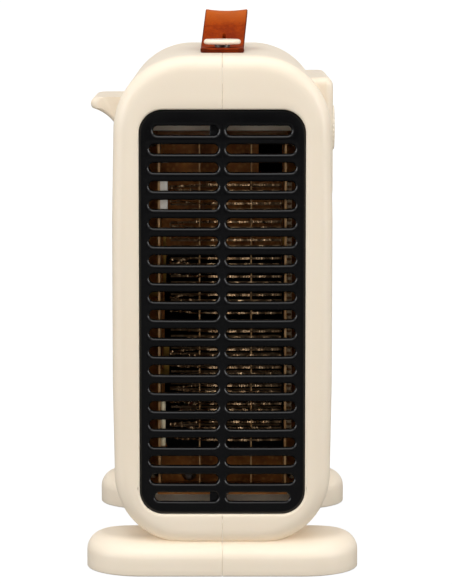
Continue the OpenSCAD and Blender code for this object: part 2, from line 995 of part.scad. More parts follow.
module cord_gland() {
    color("#26272a")
        difference() {
            union() {
                rod_y(0, rear_y - wall - 4, gland_z, gland_r, wall + 4 + tiny);
                rod_y(0, rear_y + tiny, gland_z, gland_flange_r, gland_flange_t);
            }
            rod_y(0, rear_y - wall - 5, gland_z, gland_bore_r, wall + gland_flange_t + 7);
        }
}

// The lead inside the body, from the cord inlet to the rotary switch
module supply_lead() {
    color("#3a3c40") {
        rod_y(0, lead_y, gland_z, lead_r, rear_y - wall - 4 - lead_y);
        rod_x(0, lead_y, gland_z, lead_r, lead_x);
        translate([lead_x, lead_y, gland_z])
            cylinder(r = lead_r, h = dial_z - gland_z);
        rod_y(lead_x, switch_size / 2, dial_z, lead_r, lead_y - switch_size / 2);
        for (p = [[0, gland_z], [lead_x, gland_z], [lead_x, dial_z]])
            translate([p[0], lead_y, p[1]])
                sphere(r = 1.3 * lead_r);
    }
}

// The glass-sleeved lead that rises along the right card's outer face
module sleeved_lead() {
    color("#c9b497")
        translate([card_x + mica_t / 2 + sleeve_r + tiny / 2, element_y + element_d / 2, row_one_z - sleeve_rows * slot_pitch])
            cylinder(r = sleeve_r, h = sleeve_rows * slot_pitch);
}

shell_left();
shell_right();
front_grille();
rear_grille();
dust_filter();
shell_screws();
foot_cover_front();
foot_cover_rear();
rubber_pads();
strap();
strap_buttons();
strap_posts();
post_nuts();
grip_ledge();
control_pod();
control_dial();
rotary_switch();
indicator_lens();
baffle_plate();
plate_rivets();
mica_cap_top();
mica_cap_bottom();
mica_card_left();
mica_card_right();
mica_comb_left();
mica_comb_right();
wire_upper();
wire_lower();
terminal_blocks();
brass_strips();
ceramic_bush();
thermal_fuse();
thermal_cutoff();
fan_duct();
fan_impeller();
fan_shaft();
fan_motor();
motor_bracket();
tip_plunger();
tip_spring();
tip_switch();
cord_gland();
supply_lead();
sleeved_lead();
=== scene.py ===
"""Looks of the upright fan heater: housing, slotted grilles, wound element, fan, dial and strap.

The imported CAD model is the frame. Every piece here rides on one of its bodies
and stays inside its box. Sizes are in millimetres until a mesh is made.
"""

import logging
import math
from dataclasses import dataclass
from enum import Enum

import bmesh
import bpy
import numpy as np
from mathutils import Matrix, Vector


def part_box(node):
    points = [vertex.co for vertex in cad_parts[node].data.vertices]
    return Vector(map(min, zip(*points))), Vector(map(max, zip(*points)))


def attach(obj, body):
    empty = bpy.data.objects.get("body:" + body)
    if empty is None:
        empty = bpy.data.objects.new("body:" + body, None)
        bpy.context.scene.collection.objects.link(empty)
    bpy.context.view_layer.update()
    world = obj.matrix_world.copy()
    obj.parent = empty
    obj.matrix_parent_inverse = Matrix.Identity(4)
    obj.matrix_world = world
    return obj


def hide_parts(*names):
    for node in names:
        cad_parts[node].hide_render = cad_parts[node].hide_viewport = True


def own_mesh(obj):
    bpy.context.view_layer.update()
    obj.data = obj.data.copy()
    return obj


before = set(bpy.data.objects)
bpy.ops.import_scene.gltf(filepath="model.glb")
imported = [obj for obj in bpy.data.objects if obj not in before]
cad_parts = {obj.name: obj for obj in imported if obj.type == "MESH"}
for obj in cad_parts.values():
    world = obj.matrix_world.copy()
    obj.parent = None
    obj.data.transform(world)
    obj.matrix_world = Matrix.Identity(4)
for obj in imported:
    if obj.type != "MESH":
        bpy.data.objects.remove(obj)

logging.basicConfig(level=logging.INFO, format="%(message)s")
log = logging.getLogger("heater")

MM = 0.001


class Body(Enum):
    """The bodies of the frame that this script's own pieces ride on."""

    HOUSING = "housing"
    FAN = "fan"
    DIAL = "dial"


class Side(Enum):
    """The two halves of the housing."""

    LEFT = -1
    RIGHT = 1


# ------------------------------------------------------------------ mesh kit


def box_mm(node: str) -> np.ndarray:
    """Lowest and highest corner of a CAD node, in millimetres.

    Args:
        node: name of the CAD node.

    Returns:
        An array of two rows, low and high, with X, Y and Z.
    """
    low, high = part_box(node)
    return np.array([low, high], float) / MM


def grid_faces(rows: int, cols: int, wrap_rows: bool, wrap_cols: bool) -> np.ndarray:
    """Quads of a grid: (i, j), (i, j + 1), (i + 1, j + 1), (i + 1, j).

    Args:
        rows: number of rows of points.
        cols: number of points in a row.
        wrap_rows: whether the last row joins the first.
        wrap_cols: whether the last column joins the first.

    Returns:
        An array with four point numbers per face.
    """
    i = np.arange(rows if wrap_rows else rows - 1)[:, None]
    j = np.arange(cols if wrap_cols else cols - 1)[None, :]
    i_next, j_next = (i + 1) % rows, (j + 1) % cols
    quads = [i * cols + j, i * cols + j_next, i_next * cols + j_next, i_next * cols + j]
    return np.stack([np.broadcast_to(q, (i.size, j.size)) for q in quads], -1).reshape(-1, 4)


class Skin:
    """Gathers the grids and caps of one piece and makes its object."""

    def __init__(self) -> None:
        """Start with no points."""
        self.points: list = []
        self.faces: list = []
        self.marks: list = []
        self.count = 0

    def grid(self, points: np.ndarray, wrap_rows: bool = False, wrap_cols: bool = False,
             mark: float | np.ndarray = 0.0) -> int:
        """Add a surface given as rows of points.

        Args:
            points: array of rows, columns and X, Y, Z in millimetres.
            wrap_rows: whether the last row joins the first.
            wrap_cols: whether the last column joins the first.
            mark: value kept at each point for the finish to read.

        Returns:
            The number of the grid's first point.
        """
        rows, cols = points.shape[:2]
        start = self.count
        self.points.append(points.reshape(-1, 3))
        self.marks.append(np.broadcast_to(np.asarray(mark, float), (rows, cols)).reshape(-1))
        self.faces += (grid_faces(rows, cols, wrap_rows, wrap_cols) + start).tolist()
        self.count += rows * cols
        return start

    def cap(self, ids: np.ndarray) -> None:
        """Close a hole with one flat face through these points."""
        self.faces.append([int(i) for i in ids])

    def tube(self, rings: np.ndarray, mark: float | np.ndarray = 0.0) -> None:
        """Add rings of points joined in turn and closed with a cap at both ends."""
        start = self.grid(rings, wrap_cols=True, mark=mark)
        cols = rings.shape[1]
        self.cap(start + np.arange(cols)[::-1])
        self.cap(start + (rings.shape[0] - 1) * cols + np.arange(cols))

    def object(self, name: str, sharp: float = 38.0, merge: float = 0.002) -> bpy.types.Object:
        """Make the piece's object, with its faces turned outward.

        Args:
            name: the piece's name.
            sharp: angle in degrees above which an edge stays crisp.
            merge: points closer than this, in millimetres, become one.

        Returns:
            The new object, at the origin.
        """
        mesh = bpy.data.meshes.new(name)
        mesh.from_pydata((np.concatenate(self.points) * MM).tolist(), [], self.faces)
        layer = mesh.attributes.new("mark", "FLOAT", "POINT")
        layer.data.foreach_set("value", np.concatenate(self.marks).astype(np.float32))
        tidy = bmesh.new()
        tidy.from_mesh(mesh)
        bmesh.ops.remove_doubles(tidy, verts=tidy.verts, dist=merge * MM)
        bmesh.ops.recalc_face_normals(tidy, faces=tidy.faces)
        tidy.to_mesh(mesh)
        tidy.free()
        mesh.polygons.foreach_set("use_smooth", [True] * len(mesh.polygons))
        mesh.set_sharp_from_angle(angle=math.radians(sharp))
        made = bpy.data.objects.new(name, mesh)
        bpy.context.scene.collection.objects.link(made)
        return made


def fit_out(piece: bpy.types.Object, finish: "Finish", body: Body, slot: str, *nodes: str) -> None:
    """Give a piece its finish and its body, and hide the CAD nodes that it stands for."""
    piece.data.materials.clear()
    piece.data.materials.append(finish.material())
    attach(piece, body.value)
    if nodes:
        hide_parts(*nodes)
    piece.data.calc_loop_triangles()
    log.info("%s: %d triangles, %s", piece.name, len(piece.data.loop_triangles), body.value)


def cut(piece: bpy.types.Object, cutter: bpy.types.Object, sharp: float = 38.0) -> None:
    """Take the cutter's volume out of the piece and throw the cutter away."""
    modifier = piece.modifiers.new("cut", "BOOLEAN")
    modifier.object = cutter
    modifier.operation = "DIFFERENCE"
    modifier.solver = "EXACT"
    modifier.use_self = True
    graph = bpy.context.evaluated_depsgraph_get()
    result = bpy.data.meshes.new_from_object(piece.evaluated_get(graph), depsgraph=graph)
    piece.modifiers.clear()
    old = piece.data
    piece.data = result
    result.name = piece.name
    bpy.data.meshes.remove(old)
    bpy.data.objects.remove(cutter)
    result.polygons.foreach_set("use_smooth", [True] * len(result.polygons))
    result.set_sharp_from_angle(angle=math.radians(sharp))


def quarter(steps: int) -> np.ndarray:
    """Angles from 0 to a quarter turn."""
    return np.linspace(0.0, math.pi / 2, steps)


def circle_loop(radius: float, count: int) -> np.ndarray:
    """Points of a circle: (radius cos t, radius sin t)."""
    t = np.arange(count) * 2 * math.pi / count
    return radius * np.stack([np.cos(t), np.sin(t)], -1)


def rounded_loop(width: float, height: float, radius: float, arc: int = 6, straight: int = 3) -> np.ndarray:
    """Points of a rectangle with round corners, anticlockwise from the right side's lower end.

    Each corner is its centre plus radius (cos t, sin t); the sides are drawn straight between.

    Args:
        width: full width.
        height: full height.
        radius: corner radius.
        arc: steps in a corner.
        straight: steps along a side.

    Returns:
        An array of points around the centre.
    """
    radius = max(radius, 1e-3)
    t = np.linspace(0, math.pi / 2, arc + 1)
    parts = []
    for k, (sx, sy) in enumerate([(1, 1), (-1, 1), (-1, -1), (1, -1)]):
        centre = np.array([sx * (width / 2 - radius), sy * (height / 2 - radius)])
        turn = t + k * math.pi / 2
        parts.append(centre + radius * np.stack([np.cos(turn), np.sin(turn)], -1))
    points = []
    for k, part in enumerate(parts):
        following = parts[(k + 1) % 4][0]
        run = np.linspace(0, 1, straight + 1)[1:-1, None]
        points += [part, part[-1] + (following - part[-1]) * run]
    return np.concatenate(points)


class Axis(Enum):
    """The direction that a turned or stacked piece is built along."""

    X = (1, 2, 0)
    Y = (0, 2, 1)
    Z = (0, 1, 2)


def place(flat: np.ndarray, along: np.ndarray, axis: Axis, centre: tuple) -> np.ndarray:
    """Rings from flat loops and their places along an axis.

    Args:
        flat: array of rings, points and two across-coordinates.
        along: place of each ring along the axis.
        axis: which axis the rings are stacked on.
        centre: X, Y and Z that is added.

    Returns:
        Array of rings, points and X, Y, Z.
    """
    points = np.zeros(flat.shape[:2] + (3,))
    points[..., axis.value[0]] = flat[..., 0]
    points[..., axis.value[1]] = flat[..., 1]
    points[..., axis.value[2]] = np.asarray(along)[:, None]
    return points + np.asarray(centre, float)


def turned(skin: Skin, profile: list, axis: Axis, centre: tuple, count: int = 48) -> None:
    """Add a turned shape: each profile point (radius, place) becomes a ring about the axis."""
    table = np.array(profile, float)
    flat = circle_loop(1.0, count)[None] * table[:, :1, None]
    skin.tube(place(flat, table[:, 1], axis, centre))


def block(skin: Skin, low: tuple, high: tuple, edge: float, axis: Axis = Axis.Y, corner: float = 0.0) -> None:
    """Add a block whose edges are rounded: rings of a round-cornered rectangle.

    The rings near both ends are drawn in by edge (1 - sin t) at depth edge (1 - cos t).

    Args:
        skin: the skin that it is added to.
        low: lowest corner.
        high: highest corner.
        edge: rounding of the end edges.
        axis: direction of the rings.
        corner: corner radius of the rings, or 0 for the same as edge.
    """
    low, high = np.array(low, float), np.array(high, float)
    size, centre = high - low, (low + high) / 2
    a, b, c = axis.value
    corner = corner or edge
    t = quarter(4)
    inset = np.concatenate([edge * (1 - np.sin(t)), edge * (1 - np.sin(t))[::-1]])
    depth = edge * (1 - np.cos(t))
    along = np.concatenate([depth - size[c] / 2, (size[c] / 2 - depth)[::-1]])
    flat = np.stack([rounded_loop(size[a] - 2 * i, size[b] - 2 * i, max(corner - i, 0.02)) for i in inset])
    skin.tube(place(flat, along, axis, tuple(centre)))


def soft_cylinder(radius: float, low: float, high: float, edge: float, steps: int = 4) -> list:
    """Profile of a cylinder with rounded rims, for turned()."""
    t = quarter(steps)
    rim = radius - edge * (1 - np.sin(t))
    lower = list(zip(rim, low + edge * (1 - np.cos(t))))
    upper = list(zip(rim[::-1], (high - edge * (1 - np.cos(t)))[::-1]))
    return [(max(lower[0][0] * 0.5, 0.02), low)] + lower + upper + [(max(lower[0][0] * 0.5, 0.02), high)]


# ------------------------------------------------------------------ finishes


def linear(colour: str) -> tuple:
    """Turn an sRGB hex colour into linear RGBA: ((c + 0.055) / 1.055) ^ 2.4 above the toe."""
    code = colour.lstrip("#")
    parts = [int(code[i:i + 2], 16) / 255 for i in (0, 2, 4)]
    return tuple(p / 12.92 if p <= 0.04045 else ((p + 0.055) / 1.055) ** 2.4 for p in parts) + (1.0,)


def per_mm(size: float) -> float:
    """Texture scale, in turns per metre, for a feature of this many millimetres."""
    return 1000.0 / size


def add(
    tree: bpy.types.NodeTree, kind: str, inputs: dict | None = None, **settings: object
) -> bpy.types.Node:
    """Add a node, set its properties and fill or link its inputs.

    Args:
        tree: node tree that gets the node.
        kind: node type, without the ShaderNode prefix.
        inputs: input name or number to a value or to an output socket.
        settings: node properties by name.

    Returns:
        The new node.
    """
    made = tree.nodes.new("ShaderNode" + kind)
    for key, value in settings.items():
        setattr(made, key, value)
    for key, value in (inputs or {}).items():
        if isinstance(value, bpy.types.NodeSocket):
            tree.links.new(value, made.inputs[key])
        else:
            made.inputs[key].default_value = value
    return made


def blend_colours(
    tree: bpy.types.NodeTree, amount: object, first: object, second: object
) -> bpy.types.NodeSocket:
    """Mix two colours by an amount from 0 to 1 and return the colour socket."""
    made = add(tree, "Mix", {"Factor": amount, 6: first, 7: second}, data_type="RGBA")
    return made.outputs[2]


def spread(
    tree: bpy.types.NodeTree, value: object, low: float, high: float, to_low: float, to_high: float
) -> bpy.types.NodeSocket:
    """Map a value from one range to another, clamped, and return the socket."""
    made = add(tree, "MapRange", {"Value": value, "From Min": low, "From Max": high,
                                  "To Min": to_low, "To Max": to_high})
    return made.outputs[0]


@dataclass(frozen=True)
class Finish:
    """A finish with two tones, a mottle, a fine grain and a varied roughness.

    Fields give sRGB hex colours, millimetres for pattern sizes and the usual
    shader numbers. Sub-classes draw their own pattern in tone() and bumps().
    """

    name: str
    base: str
    shade: str
    mottle: float = 40.0
    mix: float = 0.5
    rough: float = 0.4
    rough_spread: float = 0.06
    grain: float = 0.6
    relief: float = 0.02
    metallic: float = 0.0
    ior: float = 1.5
    specular: float = 0.5
    coat: float = 0.0
    sheen: float = 0.0
    subsurface: float = 0.0

    def vector(self, tree: bpy.types.NodeTree) -> bpy.types.NodeSocket:
        """Object coordinates in metres, which are the model's own."""
        return add(tree, "TexCoord").outputs["Object"]

    def tone(self, tree: bpy.types.NodeTree, vector: bpy.types.NodeSocket) -> bpy.types.NodeSocket:
        """Base and shade mixed by a soft mottle."""
        cloud = add(tree, "TexNoise", {"Vector": vector, "Scale": per_mm(self.mottle), "Detail": 3.0})
        amount = spread(tree, cloud.outputs["Fac"], 0.35, 0.65, 0.0, self.mix)
        return blend_colours(tree, amount, linear(self.base), linear(self.shade))

    def bumps(self, tree: bpy.types.NodeTree, vector: bpy.types.NodeSocket) -> bpy.types.NodeSocket:
        """Height of the fine grain."""
        grain = add(tree, "TexNoise", {"Vector": vector, "Scale": per_mm(self.grain), "Detail": 2.0})
        return grain.outputs["Fac"]

    def material(self) -> bpy.types.Material:
        """The material, made once and kept by name."""
        if self.name in bpy.data.materials:
            return bpy.data.materials[self.name]
        made = bpy.data.materials.new(self.name)
        made.use_nodes = True
        tree = made.node_tree
        tree.nodes.clear()
        vector = self.vector(tree)
        height = self.bumps(tree, vector)
        wear = add(tree, "TexNoise", {"Vector": vector, "Scale": per_mm(14.0), "Detail": 4.0})
        rough = spread(tree, wear.outputs["Fac"], 0.3, 0.7, max(self.rough - self.rough_spread, 0.02),
                       min(self.rough + self.rough_spread, 1.0))
        bump = add(tree, "Bump", {"Height": height, "Distance": self.relief * MM, "Strength": 1.0})
        shader = add(tree, "BsdfPrincipled", {
            "Base Color": self.tone(tree, vector), "Roughness": rough, "Normal": bump.outputs[0],
            "Metallic": self.metallic, "IOR": self.ior, "Specular IOR Level": self.specular,
            "Coat Weight": self.coat, "Sheen Weight": self.sheen, "Subsurface Weight": self.subsurface})
        if self.subsurface:
            shader.inputs["Subsurface Radius"].default_value = (1.0, 0.7, 0.45)
            shader.inputs["Subsurface Scale"].default_value = 2.0 * MM
        add(tree, "OutputMaterial", {"Surface": shader.outputs[0]})
        return made


@dataclass(frozen=True)
class MouldedPlastic(Finish):
    """Injection moulded plastic with a spark-eroded grain: tiny rounded pits over a soft sheen."""

    def bumps(self, tree: bpy.types.NodeTree, vector: bpy.types.NodeSocket) -> bpy.types.NodeSocket:
        """Pits from cells of the grain size, softened by a finer noise and a faint sink of the wall."""
        pits = add(tree, "TexVoronoi", {"Vector": vector, "Scale": per_mm(self.grain)}, feature="SMOOTH_F1")
        fine = add(tree, "TexNoise", {"Vector": vector, "Scale": per_mm(self.grain * 0.6), "Detail": 2.0})
        joined = add(tree, "Math", {0: pits.outputs["Distance"], 1: fine.outputs["Fac"]}, operation="ADD")
        return joined.outputs[0]


@dataclass(frozen=True)
class Metal(Finish):
    """Bare metal with a directional drawing or turning grain along one axis."""

    stretch: tuple = (1.0, 12.0, 1.0)

    def bumps(self, tree: bpy.types.NodeTree, vector: bpy.types.NodeSocket) -> bpy.types.NodeSocket:
        """Streaks: noise whose coordinates are squeezed along the grain."""
        turned_to = add(tree, "Mapping", {"Vector": vector, "Scale": self.stretch})
        streak = add(tree, "TexNoise", {"Vector": turned_to.outputs[0], "Scale": per_mm(self.grain * 4),
                                        "Detail": 4.0})
        return streak.outputs["Fac"]


@dataclass(frozen=True)
class Leather(Finish):
    """Waxed vegetable-tanned leather: pebbled pores, a painted highlight on the crown and dark burnished
    edges.
    """

    edge: str = "#4A1604"
    bend: str = "#C05C18"
    # painted highlight: the paler colour that the strap's top is blended toward, by height, between the two
    # heights below
    lit_crown_low: float = 0.2635
    lit_crown_high: float = 0.2705

    def tone(self, tree: bpy.types.NodeTree, vector: bpy.types.NodeSocket) -> bpy.types.NodeSocket:
        """Two browns by a broad and a fine mottle, paler on the crown as a painted highlight, dark where the
        mark says.
        """
        cloud = add(tree, "TexNoise", {"Vector": vector, "Scale": per_mm(self.mottle), "Detail": 6.0,
                                       "Roughness": 0.6})
        pores = add(tree, "TexNoise", {"Vector": vector, "Scale": per_mm(1.1), "Detail": 3.0})
        amount = spread(tree, cloud.outputs["Fac"], 0.36, 0.64, 0.0, self.mix)
        body = blend_colours(tree, amount, linear(self.base), linear(self.shade))
        dark = spread(tree, pores.outputs["Fac"], 0.3, 0.5, 0.35, 0.0)
        body = blend_colours(tree, dark, body, linear(self.edge))
        # painted highlight: above a height the strap is blended toward the bend colour, standing in for light
        # on its crown
        height = add(tree, "SeparateXYZ", {0: vector}).outputs["Z"]
        high = spread(tree, height, self.lit_crown_low, self.lit_crown_high, 0.0, 0.9)
        body = blend_colours(tree, high, body, linear(self.bend))
        mark = add(tree, "Attribute", attribute_name="mark")
        return blend_colours(tree, mark.outputs["Fac"], body, linear(self.edge))

    def bumps(self, tree: bpy.types.NodeTree, vector: bpy.types.NodeSocket) -> bpy.types.NodeSocket:
        """Pebbles of the grain size with creases across the strap, coarser than real so that they show."""
        pebble = add(tree, "TexVoronoi", {"Vector": vector, "Scale": per_mm(self.grain), "Randomness": 0.9},
                     feature="SMOOTH_F1")
        crease = add(tree, "TexNoise", {"Vector": vector, "Scale": per_mm(5.0), "Detail": 5.0})
        joined = add(tree, "Math", {0: pebble.outputs["Distance"], 1: crease.outputs["Fac"]}, operation="ADD")
        return joined.outputs[0]


@dataclass(frozen=True)
class MicaBoard(Finish):
    """Pressed mica board: tan flakes in a brown binder, with a dull pearl glint."""

    flake: str = "#BE8A48"

    def tone(self, tree: bpy.types.NodeTree, vector: bpy.types.NodeSocket) -> bpy.types.NodeSocket:
        """Flat flakes from cells 2.2 mm across over the brown mottle."""
        cells = add(tree, "TexVoronoi", {"Vector": vector, "Scale": per_mm(2.2)})
        flakes = spread(tree, cells.outputs["Distance"], 0.1, 0.5, 0.45, 0.0)
        return blend_colours(tree, flakes, Finish.tone(self, tree, vector), linear(self.flake))


@dataclass(frozen=True)
class Sleeve(Finish):
    """Braided glass-fibre sleeve: pale strands crossing over a brown ground."""

    strand: float = 1.1

    def bumps(self, tree: bpy.types.NodeTree, vector: bpy.types.NodeSocket) -> bpy.types.NodeSocket:
        """Strands: one wave turned each way, the larger of the two on top."""
        waves = []
        for turn in (0.7, -0.7):
            angled = add(tree, "Mapping", {"Vector": vector, "Rotation": (turn, 0.0, 0.0)})
            waves.append(add(tree, "TexWave", {"Vector": angled.outputs[0], "Scale": per_mm(self.strand) / 6},
                             bands_direction="Z"))
        first, second = (wave.outputs["Fac"] for wave in waves)
        joined = add(tree, "Math", {0: first, 1: second}, operation="MAXIMUM")
        return joined.outputs[0]

    def tone(self, tree: bpy.types.NodeTree, vector: bpy.types.NodeSocket) -> bpy.types.NodeSocket:
        """Pale on the strands and brown between them."""
        amount = spread(tree, self.bumps(tree, vector), 0.3, 0.9, 1.0, 0.0)
        return blend_colours(tree, amount, linear(self.base), linear(self.shade))


@dataclass(frozen=True)
class Foam(Finish):
    """Open-cell filter foam: dark pores 1.2 mm across with lit cell walls."""

    def tone(self, tree: bpy.types.NodeTree, vector: bpy.types.NodeSocket) -> bpy.types.NodeSocket:
        """Cell walls in the base colour, pores in the shade colour: painted shade inside the pores."""
        cells = add(tree, "TexVoronoi", {"Vector": vector, "Scale": per_mm(self.grain)})
        amount = spread(tree, cells.outputs["Distance"], 0.15, 0.55, 1.0, 0.0)
        return blend_colours(tree, amount, linear(self.base), linear(self.shade))

    def bumps(self, tree: bpy.types.NodeTree, vector: bpy.types.NodeSocket) -> bpy.types.NodeSocket:
        """Height of the cell walls."""
        return add(tree, "TexVoronoi", {"Vector": vector, "Scale": per_mm(self.grain)}).outputs["Distance"]


# ABS, moulded in a fine satin texture: warm cream, soft highlight, slightly translucent
CREAM = MouldedPlastic(
    "abs_cream_moulded", "#F1E3CE", "#EFDFC8", 70.0, 0.6, 0.42, 0.05, 0.55, 0.012, subsurface=0.06
)
# The same ABS from a polished mould: glossier, a touch lighter
CREAM_GLOSS = MouldedPlastic(
    "abs_cream_polished", "#F2E6D2", "#EDDDC4", 30.0, 0.5, 0.28, 0.05, 0.5, 0.006, subsurface=0.05
)
# ABS of the covers below the feet: coarser texture, duller
CREAM_COVER = MouldedPlastic("abs_cream_textured", "#E4D6BC", "#DACBAE", 24.0, 0.6, 0.55, 0.06, 0.7, 0.03)
# Glass-filled nylon, moulded satin: black with a soft grey sheen at a slant
BLACK = MouldedPlastic(
    "nylon_black_satin", "#060607", "#0B0A0B", 26.0, 0.5, 0.22, 0.04, 0.5, 0.004, specular=0.45
)
# Nylon of the duct, bracket and fan: dull black with mould flow marks
BLACK_DULL = MouldedPlastic(
    "nylon_black_dull", "#101011", "#1A1A1B", 18.0, 0.6, 0.6, 0.08, 0.8, 0.03, specular=0.35
)
# Phenolic of the switches: dark grey, smooth
SWITCH = MouldedPlastic("phenolic_dark_moulded", "#232429", "#2C2D31", 9.0, 0.6, 0.45, 0.06, 0.6, 0.015)
# Waxed leather: orange brown with a paler painted highlight on the crown, darker pores, burnished edges
LEATHER = Leather("leather_waxed_tan", "#983800", "#701B00", 9.0, 0.8, 0.55, 0.10, 0.9, 0.10, specular=0.05)
# Aluminium posts, turned: fine rings, painted a dark brown grey as the shade under the buttons
POST = Metal(
    "aluminium_turned", "#7A7068", "#625A54", 5.0, 0.6, 0.42, 0.08, 0.3, 0.01, 1.0, stretch=(1.0, 1.0, 30.0)
)
# Zinc-plated steel screws: pale, faintly yellow
ZINC = Metal("steel_zinc_plated", "#C9C7C0", "#A8A59B", 2.0, 0.6, 0.34, 0.08, 0.4, 0.01, 1.0)
# Nickel-plated rivets: warm grey, bright
NICKEL = Metal("steel_nickel_plated", "#D2CDC0", "#A9A396", 2.0, 0.6, 0.25, 0.08, 0.3, 0.006, 1.0)
# Ground steel shaft: bright rings
SHAFT = Metal("steel_ground", "#BFC0C2", "#9A9B9D", 4.0, 0.5, 0.2, 0.06, 0.2, 0.004, 1.0)
# Motor can: zinc-plated deep-drawn steel, greyer
MOTOR_CAN = Metal("steel_deep_drawn", "#7D8084", "#5C5F63", 8.0, 0.7, 0.42, 0.1, 0.5, 0.015, 1.0)
# Spring wire: drawn steel
SPRING = Metal("steel_spring_drawn", "#B4B4B2", "#86868A", 2.0, 0.6, 0.3, 0.08, 0.3, 0.006, 1.0)
# Nickel-chrome ribbon, heat dulled: brown-grey with straw and blue tints
NICHROME = Metal("nichrome_ribbon_annealed", "#B79A78", "#7A5A3C", 3.0, 0.9, 0.32, 0.1, 0.3, 0.01, 1.0)
# Stamped brass: yellow with darker tarnish
BRASS = Metal("brass_stamped", "#D9AE5B", "#A87B30", 3.0, 0.7, 0.33, 0.1, 0.4, 0.012, 1.0)
# Cut-off cap: stamped aluminium alloy, grey
CUTOFF = Metal("aluminium_stamped", "#B3B7B8", "#84898B", 3.0, 0.7, 0.36, 0.08, 0.4, 0.01, 1.0)
# Pressed mica board: tan and brown flakes
MICA = MicaBoard("mica_board_pressed", "#A8682B", "#7A4517", 11.0, 0.9, 0.5, 0.12, 1.4, 0.05, specular=0.3)
# Mica edge and card faces that catch the light: paler
MICA_PALE = MicaBoard("mica_board_pale", "#A98558", "#7A5328", 8.0, 0.9, 0.45, 0.12, 1.4, 0.05, specular=0.6)
# Steatite, unglazed fired ceramic: white, chalky
STEATITE = Finish("steatite_fired", "#EFEAE0", "#DDD5C6", 3.0, 0.6, 0.6, 0.08, 0.5, 0.03)
# Cream glazed ceramic bush
BUSH = Finish("ceramic_glazed_cream", "#F4E8C8", "#E6D4A8", 4.0, 0.6, 0.25, 0.06, 0.6, 0.01)
# Moulded rubber: matt black with dust
RUBBER = Finish("rubber_moulded", "#262626", "#383736", 5.0, 0.7, 0.85, 0.08, 0.5, 0.04, specular=0.3)
# Polyurethane filter foam
FOAM = Foam("foam_open_cell", "#2E2F31", "#0B0B0C", 8.0, 0.5, 0.9, 0.05, 1.2, 0.5, specular=0.1)
# Amber lens of clear acrylic over a dark hollow
LENS = Finish(
    "acrylic_amber_moulded", "#D2541E", "#B23A10", 2.0, 0.6, 0.12, 0.04, 0.8, 0.004, ior=1.49, coat=0.3
)
# PVC sheath of the inner lead
PVC = Finish("pvc_grey_extruded", "#36383B", "#2B2C2F", 9.0, 0.6, 0.5, 0.08, 0.9, 0.02)
# Braided glass sleeve
BRAID = Sleeve("glass_fibre_braided", "#C9B497", "#7A5835", 3.0, 0.6, 0.7, 0.1, 1.1, 0.12)
# Pad-printed grey ink of the dial's marks
INK = Finish("ink_grey_printed", "#6E6A64", "#85817A", 1.5, 0.6, 0.5, 0.06, 0.3, 0.004)


# ------------------------------------------------------------------ housing


@dataclass(frozen=True)
class HullOutline:
    """Right half of the line around a set of discs, read by the angle about a centre.

    For each direction n the line's point is c + r n of the disc with the
    largest c . n + r, so flats between two discs come out straight.
    """

    discs: tuple
    centre_z: float

    def dense(self) -> tuple[np.ndarray, np.ndarray, np.ndarray]:
        """Angles from the top, points and outward normals, finely spaced."""
        turn = np.linspace(0, math.pi, 1441)
        normal = np.stack([np.sin(turn), np.cos(turn)], -1)
        discs = np.array(self.discs, float)
        best = np.argmax(normal @ discs[:, :2].T + discs[:, 2], axis=1)
        points = discs[best, :2] + discs[best, 2:] * normal
        points = np.concatenate([[[0, points[0, 1]]], points, [[0, points[-1, 1]]]])
        normal = np.concatenate([[[0, 1]], normal, [[0, -1]]])
        theta = np.arctan2(points[:, 0], points[:, 1] - self.centre_z)
        theta[-1] = math.pi
        return np.maximum.accumulate(theta + np.arange(theta.size) * 1e-9), points, normal

    def at(self, theta: np.ndarray) -> tuple[np.ndarray, np.ndarray]:
        """Points and normals at these angles."""
        known, points, normal = self.dense()
        spots = np.stack([np.interp(theta, known, points[:, k]) for k in (0, 1)], -1)
        ways = np.stack([np.interp(theta, known, normal[:, k]) for k in (0, 1)], -1)
        return spots, ways / np.linalg.norm(ways, axis=1, keepdims=True)

    def spaced(self, count: int, corner: float = 12.0) -> np.ndarray:
        """Angles at even steps of length plus corner times the turn, so corners get more."""
        theta, points, normal = self.dense()
        step = np.linalg.norm(np.diff(points, axis=0), axis=1)
        bend = np.linalg.norm(np.diff(normal, axis=0), axis=1)
        measure = np.concatenate([[0], np.cumsum(step + corner * bend)])
        return np.interp(np.linspace(0, measure[-1], count), measure, theta)


